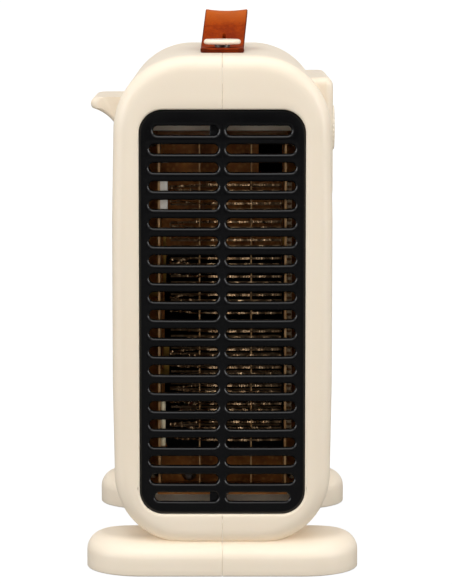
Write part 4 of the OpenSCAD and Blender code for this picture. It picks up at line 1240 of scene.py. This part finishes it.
@dataclass
class Controls:
    """The pod on the right wall with its dial, marks and indicator."""

    edge: float = 4.0
    inner_x: float = 43.0
    well: float = 12.42
    well_deep: float = 6.4
    grips: int = 28
    grip_deep: float = 0.55

    def __post_init__(self) -> None:
        """Read the pod's and the dial's boxes."""
        self.pod = box_mm("control_pod")
        self.dial_box = box_mm("control_dial")
        self.axis = ((self.dial_box[0] + self.dial_box[1]) / 2)[1:]

    def pod_piece(self) -> bpy.types.Object:
        """The pod: round-cornered rings drawn in by r (1 - cos t), then run into the dial's round well."""
        low, high = self.pod
        size, mid = high - low, (low + high) / 2
        outline = rounded_loop(size[1], size[2], self.edge, 8, 10)
        count = len(outline)
        rows, along = [], []
        for x in (self.inner_x, 47.0, high[0] - self.edge):
            rows.append(outline)
            along.append(x)
        for t in quarter(9)[1:]:
            inset = self.edge * (1 - math.cos(t))
            rows.append(outline * ((size[1:] - 2 * inset) / size[1:]))
            along.append(high[0] - self.edge + self.edge * math.sin(t))
        centre = self.axis - mid[1:]
        last = rows[-1]
        angle = np.arctan2(last[:, 1] - centre[1], last[:, 0] - centre[0])
        ring = np.stack([np.cos(angle), np.sin(angle)], -1)
        for k in (0.35, 0.7):
            rows.append(last + (centre + ring * (self.well + 0.9) - last) * k)
            along.append(high[0])
        bowl = [(self.well + 0.9, 0.0), (self.well + 0.5, 0.06), (self.well + 0.15, 0.3),
                (self.well, 0.7), (self.well, self.well_deep), (4.0, self.well_deep)]
        for radius, x in bowl:
            rows.append(centre + ring * radius)
            along.append(high[0] - x)
        skin = Skin()
        points = place(np.stack(rows), np.array(along), Axis.X, (0, mid[1], mid[2]))
        start = skin.grid(points, wrap_cols=True)
        skin.cap(start + np.arange(count))
        skin.cap(start + (len(rows) - 1) * count + np.arange(count))
        return skin.object("control_pod_cover", sharp=50.0)

    def dial_piece(self) -> bpy.types.Object:
        """The dial: a skirt with finger grooves, a dished face and a raised bar.

        Its rim radius is r - deep cos^6(n a / 2), so narrow grooves part wide grips.
        """
        low, high = self.dial_box
        r = (high[1] - low[1]) / 2
        count = self.grips * 8
        a = np.arange(count) * 2 * math.pi / count
        groove = np.abs(np.cos(a * self.grips / 2)) ** 6
        face, back = high[0], self.pod[1][0] - 6.0
        wall = self.pod[1][0]
        table = [(2.9, low[0], 0), (2.9, back, 0), (r - 0.6, back, 0), (r, back + 0.5, 0),
                 (r, wall - 0.2, 0), (r - 0.1, wall + 0.1, 1), (r - 0.25, face - 0.9, 1),
                 (r - 0.6, face - 0.35, 0.8), (r - 1.2, face - 0.05, 0.3), (r - 1.9, face, 0),
                 (r - 2.8, face - 0.15, 0), (r - 4.5, face - 0.8, 0), (5.0, face - 1.0, 0),
                 (0.05, face - 1.0, 0)]
        ring = np.stack([np.cos(a), np.sin(a)], -1)
        rings = [(radius - self.grip_deep * groove * share)[:, None] * ring for radius, _, share in table]
        skin = Skin()
        skin.tube(place(np.stack(rings), np.array([x for _, x, _ in table]), Axis.X, (0, *self.axis)))
        y, z = self.axis
        block(skin, (face - 1.6, y - 1.9, z - r + 2.6), (face - 0.02, y + 1.9, z + r - 2.6), 0.6, Axis.X, 1.8)
        return skin.object("control_dial_knob", sharp=32.0)

    def pointer(self) -> bpy.types.Object:
        """An inked line in the top of the dial's bar."""
        face = self.dial_box[1][0]
        y, z = self.axis
        skin = Skin()
        block(skin, (face - 0.15, y - 0.35, z + 3.2), (face, y + 0.35, z + 8.2), 0.05, Axis.X, 0.3)
        return skin.object("dial_pointer")

    def marks(self) -> bpy.types.Object:
        """Printed settings around the dial: five dots that grow with the heat."""
        skin = Skin()
        x = self.pod[1][0]
        y, z = self.axis
        for turn, size in [(-135, 0.7), (-67, 0.9), (0, 1.1), (67, 1.35), (135, 1.6)]:
            t = math.radians(turn)
            spot = (0, y + 16.5 * math.sin(t), z + 16.5 * math.cos(t))
            turned(skin, soft_cylinder(size, x - 0.2, x + 0.04, 0.03), Axis.X, spot, 24)
        return skin.object("dial_marks", sharp=60.0)

    def lens(self) -> tuple[bpy.types.Object, bpy.types.Object]:
        """The indicator's domed lens and its thin collar."""
        low, high = box_mm("indicator_lens")
        mid, r = (low + high) / 2, (high[1] - low[1]) / 2
        dome = Skin()
        t = quarter(7)
        glass, rise = r - 0.35, 0.6
        profile = [(0.02, low[0]), (glass, low[0]), (glass, high[0] - rise)]
        profile += [(glass * math.cos(a), high[0] - rise + rise * math.sin(a)) for a in t[1:-1]]
        profile += [(0.02, high[0])]
        turned(dome, profile, Axis.X, (0, mid[1], mid[2]), 32)
        collar = Skin()
        x = self.pod[1][0]
        section = [(-0.3, -1.0), (0.25, -1.0), (0.35, 0.02), (0.2, 0.16), (-0.15, 0.16), (-0.3, 0.0)]
        flat = np.stack([circle_loop(r + out, 32) for out, _ in section])
        rings = place(flat, np.array([x + up for _, up in section]), Axis.X, (0, mid[1], mid[2]))
        collar.grid(rings, wrap_rows=True, wrap_cols=True)
        return dome.object("indicator_dome"), collar.object("indicator_collar")

    def build(self) -> None:
        """Make and dress the pod's pieces."""
        fit_out(self.pod_piece(), CREAM, Body.HOUSING, "cream_plastic", "control_pod")
        fit_out(self.dial_piece(), CREAM_GLOSS, Body.DIAL, "button_plastic", "control_dial")
        fit_out(self.pointer(), INK, Body.DIAL, "button_plastic", "control_dial")
        fit_out(self.marks(), INK, Body.HOUSING, "cream_plastic", "control_pod")
        dome, collar = self.lens()
        fit_out(dome, LENS, Body.HOUSING, "lens", "indicator_lens")
        fit_out(collar, CREAM_GLOSS, Body.HOUSING, "cream_plastic", "control_pod")


# ------------------------------------------------------------------ inside


@dataclass
class Element:
    """The heating element: crimped ribbons wound over notched mica combs."""

    per_row: int = 3
    pitch: float = 8.88
    ribbon: float = 0.95
    ribbon_t: float = 0.16
    crimp: float = 2.6
    crimp_deep: float = 0.4
    comb_slim: float = 0.22
    seed: int = 11

    def __post_init__(self) -> None:
        """Read the combs' and the windings' boxes."""
        self.upper, self.lower = box_mm("wire_upper"), box_mm("wire_lower")
        self.combs = {side: box_mm("mica_comb_" + side) for side in ("left", "right")}

    def comb(self, side: str) -> bpy.types.Object:
        """A comb: a card whose front and back edges carry a tooth for every ribbon.

        The front edge is y0 + deep where the height falls in a notch and y0 elsewhere.
        """
        low, high = self.combs[side]
        step = self.pitch / self.per_row
        top = self.upper[1][2]
        span = top - self.lower[0][2]
        count = int(span / step) + 1
        centres = top - 0.6 - np.arange(count) * step
        edges = np.stack([centres + 0.62, centres + 0.42, centres - 0.42, centres - 0.62], -1).reshape(-1)
        deep = np.tile([0.0, 1.9, 1.9, 0.0], count)
        z = np.concatenate([[high[2]], edges, [low[2]]])
        y = np.concatenate([[0.0], deep, [0.0]])
        rows = []
        slim = self.comb_slim
        bevel = 0.12
        for x, inset in ((low[0] + slim, bevel), (low[0] + slim + bevel, 0.0),
                         (high[0] - slim - bevel, 0.0), (high[0] - slim, bevel)):
            front = np.stack([np.full(z.size, x), low[1] + y + inset, z], -1)
            back = np.stack([np.full(z.size, x), high[1] - y - inset, z], -1)
            rows.append(np.concatenate([front, back[::-1]]))
        skin = Skin()
        points = np.stack(rows)
        start = skin.grid(points, wrap_cols=True)
        half, cols = z.size, 2 * z.size
        for row in (0, 3):
            base = start + row * cols
            i = np.arange(half - 1)
            strips = np.stack([base + i, base + i + 1, base + cols - 2 - i, base + cols - 1 - i], -1)
            skin.faces += strips.tolist()
        return skin.object(f"mica_comb_teeth_{side}", sharp=25.0)

    def ribbons(self, name: str, box: np.ndarray, first: int, rng: np.random.Generator) -> bpy.types.Object:
        """One winding: each turn runs along the front, round the right and back along the rear.

        A turn's centre is y0 + deep sin(2 pi x / crimp) on the front; its height fans out to the
        left of the left comb, where the ribbon also twists over.
        """
        low, high = box
        x0, x1 = low[0] + 0.1, high[0] - 0.3
        y0, y1 = low[1] + 0.25, high[1] - 0.25
        comb_x = (self.combs["left"][0][0] + self.combs["left"][1][0]) / 2
        step = self.pitch / self.per_row
        count = int(round((high[2] - low[2] - 1.2) / step)) + 1
        skin = Skin()
        front = np.linspace(x0, x1, 210)
        round_y = np.linspace(y0, y1, 10)[1:-1]
        back = np.linspace(x1, x0, 26)
        for turn in range(count):
            z = high[2] - 0.6 - turn * step
            phase = rng.uniform(0, 2 * math.pi)
            lean = rng.uniform(-0.35, 0.35)
            twist = rng.uniform(-0.25, 0.25)
            fan = np.clip((comb_x - 0.8 - front) / (comb_x - x0), 0, 1)
            way = 1 if (turn + first) % 2 else -1
            fading = np.clip(1.4 - front / x1, 0.35, 1)
            wave = self.crimp_deep * np.sin(2 * math.pi * front / self.crimp + phase) * fading
            hang = np.sin(math.pi * np.clip((front - comb_x) / (x1 - comb_x), 0, 1))
            sag = -0.22 * hang * rng.uniform(0.2, 1.0)
            zs = z + way * 1.15 * fan + lean * np.sin(3 * math.pi * fan) + sag
            path = np.concatenate([np.stack([front, y0 + wave, zs], -1),
                                   np.stack([np.full(8, x1), round_y, np.full(8, z)], -1),
                                   np.stack([back, np.full(26, y1), np.full(26, z)], -1)])
            calm = np.clip((front - comb_x) / 8, 0, 1)
            roll = np.concatenate([math.pi / 2 * calm + (0.35 + twist) * (1 - calm)
                                   + 2.4 * np.sin(math.pi * 2.2 * fan + phase) * (fan > 0)
                                   + (0.35 - 0.2 * calm) * np.sin(front * 0.9 + phase),
                                   np.full(34, math.pi / 2)])
            tangent = np.gradient(path, axis=0)
            tangent /= np.linalg.norm(tangent, axis=1, keepdims=True)
            across = np.cross(tangent, [0.0, 0.0, 1.0])
            across /= np.linalg.norm(across, axis=1, keepdims=True)
            wide = across * np.cos(roll)[:, None] + np.cross(tangent, across) * np.sin(roll)[:, None]
            thin = np.cross(tangent, wide)
            corners = [(1, 1), (-1, 1), (-1, -1), (1, -1)]
            half_w, half_t = self.ribbon / 2, self.ribbon_t / 2
            rings = np.stack([path + wide * a * half_w + thin * b * half_t for a, b in corners], 1)
            rings[..., 2] = np.clip(rings[..., 2], low[2], high[2])
            skin.tube(rings)
        return skin.object(name, sharp=30.0, merge=0.0001)

    def build(self) -> None:
        """Make and dress the combs and ribbons."""
        rng = np.random.default_rng(self.seed)
        for first, (level, box) in enumerate((("upper", self.upper), ("lower", self.lower))):
            winding = self.ribbons("ribbons_" + level, box, first, rng)
            fit_out(winding, NICHROME, Body.HOUSING, "nichrome", "wire_" + level)
        for side in ("left", "right"):
            fit_out(self.comb(side), MICA_PALE, Body.HOUSING, "mica", "mica_comb_" + side)


@dataclass
class Fan:
    """The moulded impeller: a domed hub and swept, twisted blades."""

    blades: int = 7
    hub_r: float = 13.0
    root_pitch: float = 46.0
    tip_pitch: float = 27.0
    sweep: float = 14.0
    blade_t: float = 1.5

    def build(self) -> None:
        """Make the impeller.

        A blade point at share k of the span and chord place s sits at angle sweep k + s cos(pitch) / r
        and depth s sin(pitch), with a lens-shaped thickness.
        """
        low, high = box_mm("fan_impeller")
        tip = (high[0] - low[0]) / 2 - 0.1
        mid = (low + high) / 2
        half = (high[1] - low[1]) / 2
        skin = Skin()
        dome = [(0.02, -half), (6.0, -half + 0.1), (10.0, -half + 0.8), (12.3, -half + 2.2),
                (self.hub_r, -half + 4.0), (self.hub_r, half - 0.4), (self.hub_r - 0.4, half),
                (4.5, half), (4.5, half - 1.2), (0.02, half - 1.2)]
        turned(skin, dome, Axis.Y, tuple(mid), 56)
        r = np.linspace(self.hub_r - 1.0, tip, 14)
        k = (r - r[0]) / (r[-1] - r[0])
        pitch = np.radians(self.root_pitch + (self.tip_pitch - self.root_pitch) * k)
        chord = 20.0 + 13.0 * k
        s = np.concatenate([np.linspace(-0.5, 0.5, 11), np.linspace(0.5, -0.5, 11)[1:-1]])
        face = np.concatenate([np.ones(11), -np.ones(9)])
        lens = self.blade_t / 2 * np.sqrt(np.clip(1 - (2 * s) ** 2, 0, None)) * face
        for blade in range(self.blades):
            run = s[None, :] * chord[:, None]
            around = run * np.cos(pitch)[:, None] - lens[None, :] * np.sin(pitch)[:, None]
            depth = run * np.sin(pitch)[:, None] + lens[None, :] * np.cos(pitch)[:, None]
            angle = blade * 2 * math.pi / self.blades + np.radians(self.sweep) * k[:, None]
            angle = angle + around / r[:, None]
            along = np.clip(depth, -half + 0.1, half - 0.1)
            points = np.stack([r[:, None] * np.cos(angle), along, r[:, None] * np.sin(angle)], -1)
            skin.tube(points + mid)
        fit_out(skin.object("fan_blades", sharp=35.0), BLACK_DULL, Body.FAN, "fan_plastic", "fan_impeller")


@dataclass
class Fittings:
    """Small turned and formed pieces: screws, pads, gland, cut-off, rivets, spring, blocks."""

    screw_r: float = 2.75
    spring_wire: float = 0.28
    spring_turns: float = 5.5

    def screws(self, places: list, seat: float) -> bpy.types.Object:
        """Pan heads with a cross recess; the recess is two crossed rounded slots cut into the head."""
        skin, cross = Skin(), Skin()
        for y, z in places:
            top = -seat - 2.2
            profile = [(0.02, 9.9), (1.4, 9.9), (1.48, 9.6), (1.48, -seat), (self.screw_r, -seat),
                       (self.screw_r, -seat - 0.9), (2.5, -seat - 1.6), (1.8, top + 0.12),
                       (0.9, top + 0.02), (0.02, top)]
            turned(skin, profile, Axis.X, (0, y, z), 32)
            for wide, tall in ((2.9, 0.62), (0.62, 2.9)):
                flat = rounded_loop(wide, tall, 0.25, 2, 1)
                rings = np.stack([flat, flat * 0.45])
                cross.tube(place(rings, np.array([top - 0.4, top + 1.5]), Axis.X, (0, y, z)))
        piece = skin.object("screw_set", sharp=30.0)
        cut(piece, cross.object("cutter"), 30.0)
        return piece

    def pads(self) -> bpy.types.Object:
        """Rubber pads with a chamfered rim and two grip rings below."""
        low, high = box_mm("rubber_pads")
        skin = Skin()
        r = 7.0
        for sx in (-1, 1):
            for sy in (-1, 1):
                spot = (sx * (high[0] - r), sy * (high[1] - r), 0)
                profile = [(0.02, 0.15), (2.4, 0.15), (2.6, 0.0), (3.4, 0.0), (3.6, 0.15), (4.8, 0.15),
                           (5.0, 0.0), (6.5, 0.0), (r - 0.05, 0.3), (r - 0.05, high[2]), (0.02, high[2])]
                turned(skin, profile, Axis.Z, spot, 40)
        return skin.object("rubber_pad_set", sharp=30.0)

    def gland(self) -> bpy.types.Object:
        """The cord inlet: a stepped flange with six nut flats, and a rounded bore left open."""
        low, high = box_mm("cord_gland")
        mid, out = (low + high) / 2, high[1]
        skin = Skin()
        count = 96
        a = np.arange(count) * 2 * math.pi / count
        six = 1 / np.cos((a + math.pi / 6) % (math.pi / 3) - math.pi / 6)
        widest = 7.9
        table = [(3.6, low[1], 0), (5.9, low[1], 0), (5.9, out - 2.0, 0), (widest, out - 2.0, 0),
                 (widest, out - 1.3, 0), (7.5, out - 1.0, 0), (5.6, out - 0.95, 1), (5.6, out - 0.25, 1),
                 (5.3, out, 1), (4.3, out, 0), (3.75, out - 0.2, 0), (3.6, out - 0.6, 0)]
        ring = np.stack([np.cos(a), np.sin(a)], -1)
        rings = [np.minimum(q * (1 + (six - 1) * flat), widest)[:, None] * ring for q, _, flat in table]
        points = place(np.stack(rings), np.array([y for _, y, _ in table]), Axis.Y, (mid[0], 0, mid[2]))
        skin.grid(points, wrap_rows=True, wrap_cols=True)
        return skin.object("cord_inlet", sharp=30.0)

    def cutoff(self) -> bpy.types.Object:
        """The resettable cut-off: a flanged cap with a rolled shoulder and a dimple."""
        low, high = box_mm("thermal_cutoff")
        mid, flange = (low + high) / 2, (high[0] - low[0]) / 2
        profile = [(0.02, high[1]), (flange, high[1]), (flange, high[1] - 0.5),
                   (flange - 0.3, high[1] - 0.8), (2.75, high[1] - 1.2), (2.65, low[1] + 1.1),
                   (2.4, low[1] + 0.4), (1.8, low[1] + 0.05), (0.8, low[1] + 0.05),
                   (0.3, low[1] + 0.25), (0.02, low[1] + 0.3)]
        skin = Skin()
        turned(skin, profile, Axis.Y, (mid[0], 0, mid[2]), 40)
        return skin.object("cutoff_cap", sharp=40.0)

    def rivets(self) -> bpy.types.Object:
        """Domed rivets of the baffle plate with their set ends behind it."""
        low, high = box_mm("plate_rivets")
        skin = Skin()
        r = 2.8
        for sx in (-1, 1):
            for z in (low[2] + r, high[2] - r):
                spot = (sx * (high[0] - r), 0, z)
                dome = [(r * math.cos(t), low[1] + 1.6 - 1.5 * math.sin(t)) for t in quarter(6)[1:-1]]
                profile = [
                    (0.02, low[1] + 0.1)
                ] + dome[::-1] + [(r, low[1] + 1.45), (r, low[1] + 1.6), (1.35, low[1] + 1.6),
                           (1.35, high[1] - 1.0), (2.05, high[1] - 1.0), (1.8, high[1] - 0.2),
                           (0.02, high[1])]
                turned(skin, profile, Axis.Y, spot, 28)
        return skin.object("rivet_set", sharp=40.0)

    def sleeve(self) -> bpy.types.Object:
        """The sleeved lead: a braided tube that swells softly, its ends cut square over a thinner core."""
        low, high = box_mm("sleeved_lead")
        middle = (low + high) / 2
        length = high[2] - low[2]
        r = (high[0] - low[0]) / 2 - 0.02
        z = np.linspace(0.15, length - 0.15, 90)
        swell = r - 0.05 + 0.05 * np.sin(2 * math.pi * z / 9.0)
        profile = [(0.02, 0.6), (r - 0.5, 0.6), (r - 0.5, 0.1), (r - 0.3, 0.0)] + list(zip(swell, z))
        profile += [(r - 0.3, length), (r - 0.5, length - 0.1), (r - 0.5, length - 0.6), (0.02, length - 0.6)]
        skin = Skin()
        turned(skin, profile, Axis.Z, (middle[0], middle[1], low[2]), 32)
        return skin.object("lead_sleeve", sharp=40.0)

    def spring(self) -> bpy.types.Object:
        """The plunger's coil: a round wire carried along (R cos a, R sin a, h a / turns)."""
        low, high = box_mm("tip_spring")
        mid = (low + high) / 2
        radius = (high[0] - low[0]) / 2 - self.spring_wire
        a = np.linspace(0, self.spring_turns * 2 * math.pi, 180)
        z = np.linspace(low[2] + self.spring_wire, high[2] - self.spring_wire, a.size)
        centre = np.stack([radius * np.cos(a) + mid[0], radius * np.sin(a) + mid[1], z], -1)
        out = np.stack([np.cos(a), np.sin(a), np.zeros(a.size)], -1)
        up = np.array([0.0, 0.0, 1.0])
        ring = circle_loop(self.spring_wire, 8)
        rings = centre[:, None] + out[:, None] * ring[None, :, :1] + up * ring[None, :, 1:]
        skin = Skin()
        skin.tube(rings)
        return skin.object("plunger_spring", sharp=60.0, merge=0.0005)

    def build(self, places: list, seat: float) -> None:
        """Make and dress the fittings."""
        fit_out(self.screws(places, seat), ZINC, Body.HOUSING, "screw_steel", "shell_screws")
        fit_out(self.pads(), RUBBER, Body.HOUSING, "rubber", "rubber_pads")
        fit_out(self.gland(), SWITCH, Body.HOUSING, "switch_plastic", "cord_gland")
        fit_out(self.cutoff(), CUTOFF, Body.HOUSING, "cutoff_alloy", "thermal_cutoff")
        fit_out(self.rivets(), NICKEL, Body.HOUSING, "rivet_steel", "plate_rivets")
        fit_out(self.sleeve(), BRAID, Body.HOUSING, "glass_sleeve", "sleeved_lead")
        spring = self.spring()
        fit_out(spring, SPRING, Body.HOUSING, "spring_steel", "tip_spring")
        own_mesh(spring)


# ------------------------------------------------------------------ carried-over nodes


CARRIED = {
    "dust_filter": FOAM, "foot_cover_front": CREAM_COVER, "foot_cover_rear": CREAM_COVER, "post_nuts": ZINC,
    "rotary_switch": SWITCH, "baffle_plate": MICA, "mica_cap_top": MICA, "mica_cap_bottom": MICA,
    "mica_card_left": MICA_PALE, "mica_card_right": MICA_PALE, "terminal_blocks": STEATITE,
    "brass_strips": BRASS,
    "ceramic_bush": BUSH, "thermal_fuse": BRASS, "fan_duct": BLACK_DULL, "fan_shaft": SHAFT,
    "fan_motor": MOTOR_CAN,
    "motor_bracket": BLACK_DULL, "tip_plunger": SWITCH, "tip_switch": SWITCH, "supply_lead": PVC,
}


def dress_carried() -> None:
    """Give every CAD node that is still shown the finish of the real piece."""
    for name, finish in CARRIED.items():
        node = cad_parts[name]
        node.data.materials.clear()
        node.data.materials.append(finish.material())
        log.info("%s: carried over in %s", name, finish.name)


# ------------------------------------------------------------------ studio


@dataclass
class Studio:
    """Plain pale floor, soft white light and the camera."""

    camera_at: tuple = (0.0, -1.4558, 0.29985)
    pitch: float = 6.82
    lens: float = 174.72
    shift_x: float = 0.00634
    floor_half: float = 30.0
    floor_glow: float = 0.95
    front_dark: float = 0.01
    side_light: float = 0.5

    def floor(self) -> None:
        """A wide flat floor that looks white to the camera and throws no light on the object."""
        skin = Skin()
        reach = np.linspace(-1, 1, 9) * self.floor_half / MM
        x, y = np.meshgrid(reach, reach)
        skin.grid(np.stack([x, y, np.zeros_like(x)], -1))
        floor = skin.object("floor")
        if floor.data.polygons[0].normal.z < 0:
            floor.data.flip_normals()
        made = bpy.data.materials.new("floor_white")
        made.use_nodes = True
        shader = made.node_tree.nodes["Principled BSDF"]
        shader.inputs["Base Color"].default_value = (0.1, 0.1, 0.1, 1)
        shader.inputs["Roughness"].default_value = 0.9
        shader.inputs["Specular IOR Level"].default_value = 0.1
        shader.inputs["Emission Color"].default_value = (1, 1, 1, 1)
        tree = made.node_tree
        away = add(tree, "VectorMath", {0: add(tree, "TexCoord").outputs["Object"]}, operation="LENGTH")
        glow = spread(tree, away.outputs["Value"], 0.25, 2.5, self.floor_glow, 1.0)
        path = add(tree, "LightPath")
        seen = add(tree, "Math", {0: glow, 1: path.outputs["Is Camera Ray"]}, operation="MULTIPLY")
        tree.links.new(seen.outputs[0], shader.inputs["Emission Strength"])
        floor.data.materials.append(made)

    def light(self, name: str, at: tuple, size: tuple, power: float, target: tuple = (0, 0, 0.13),
              glossy: bool = True) -> None:
        """Add one soft rectangular lamp that faces the target; a fill one leaves no glint."""
        data = bpy.data.lights.new(name, "AREA")
        data.shape = "RECTANGLE"
        data.size, data.size_y = size
        data.energy = power
        lamp = bpy.data.objects.new(name, data)
        bpy.context.scene.collection.objects.link(lamp)
        lamp.location = at
        lamp.visible_glossy = glossy
        way = np.array(target) - np.array(at)
        pitch = math.atan2(way[2], math.hypot(way[0], way[1]))
        lamp.rotation_euler = (math.pi / 2 + pitch, 0, math.atan2(-way[0], way[1]))

    def world(self) -> None:
        """White surroundings, dimmer for the lit object than for the camera, and dark straight in front."""
        world = bpy.data.worlds.new("studio")
        bpy.context.scene.world = world
        world.use_nodes = True
        tree = world.node_tree
        tree.nodes.clear()
        way = add(tree, "TexCoord").outputs["Generated"]
        parts = add(tree, "SeparateXYZ", {0: way})
        front = spread(tree, parts.outputs["Y"], -0.985, -0.8, self.front_dark, self.side_light)
        soft = add(tree, "Background", {"Color": (1.0, 1.0, 1.0, 1.0), "Strength": front})
        clear = add(tree, "Background", {"Color": (1.0, 1.0, 1.0, 1.0), "Strength": 1.05})
        path = add(tree, "LightPath")
        both = add(tree, "MixShader", {0: path.outputs["Is Camera Ray"], 1: soft.outputs[0],
                                       2: clear.outputs[0]})
        add(tree, "OutputWorld", {"Surface": both.outputs[0]})

    def camera(self) -> None:
        """The camera, level across and tilted down by the pitch."""
        data = bpy.data.cameras.new("camera")
        data.sensor_width = 36.0
        data.lens = self.lens
        data.shift_x = self.shift_x
        data.clip_start, data.clip_end = 0.01, 100.0
        camera = bpy.data.objects.new("camera", data)
        bpy.context.scene.collection.objects.link(camera)
        camera.location = self.camera_at
        camera.rotation_euler = (math.radians(90 - self.pitch), 0, 0)
        bpy.context.scene.camera = camera

    def build(self) -> None:
        """Make the whole studio."""
        self.floor()
        self.world()
        side_size = (0.45, 1.4)
        self.light("left_softbox", (-1.4, -0.7, 0.6), side_size, 12.5)
        self.light("right_softbox", (1.4, -0.7, 0.6), side_size, 12.0)
        self.light("front_fill", (0.0, -2.2, 0.35), (1.4, 0.9), 14.4, glossy=False)
        self.light("top_softbox", (0.0, -0.45, 1.7), (1.6, 1.4), 12.8)
        self.camera()
        scene = bpy.context.scene
        scene.view_settings.view_transform = "Standard"
        scene.view_settings.look = "None"


def main() -> None:
    """Build the heater piece by piece.
    """
    housing = Housing()
    housing.build()
    front = Grille("front_grille_plate", "front_grille", 21, -1.0)
    fit_out(front.build(), BLACK, Body.HOUSING, "black_plastic", "front_grille")
    rear = Grille("rear_grille_plate", "rear_grille", 18, 1.0)
    fit_out(rear.build(), BLACK, Body.HOUSING, "black_plastic", "rear_grille")
    Strap().build()
    GripLedge().build()
    Controls().build()
    Element().build()
    Fan().build()
    Fittings().build(housing.screws, housing.well_seat)
    dress_carried()
    Studio().build()


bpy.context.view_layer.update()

if __name__ == "__main__":
    main()
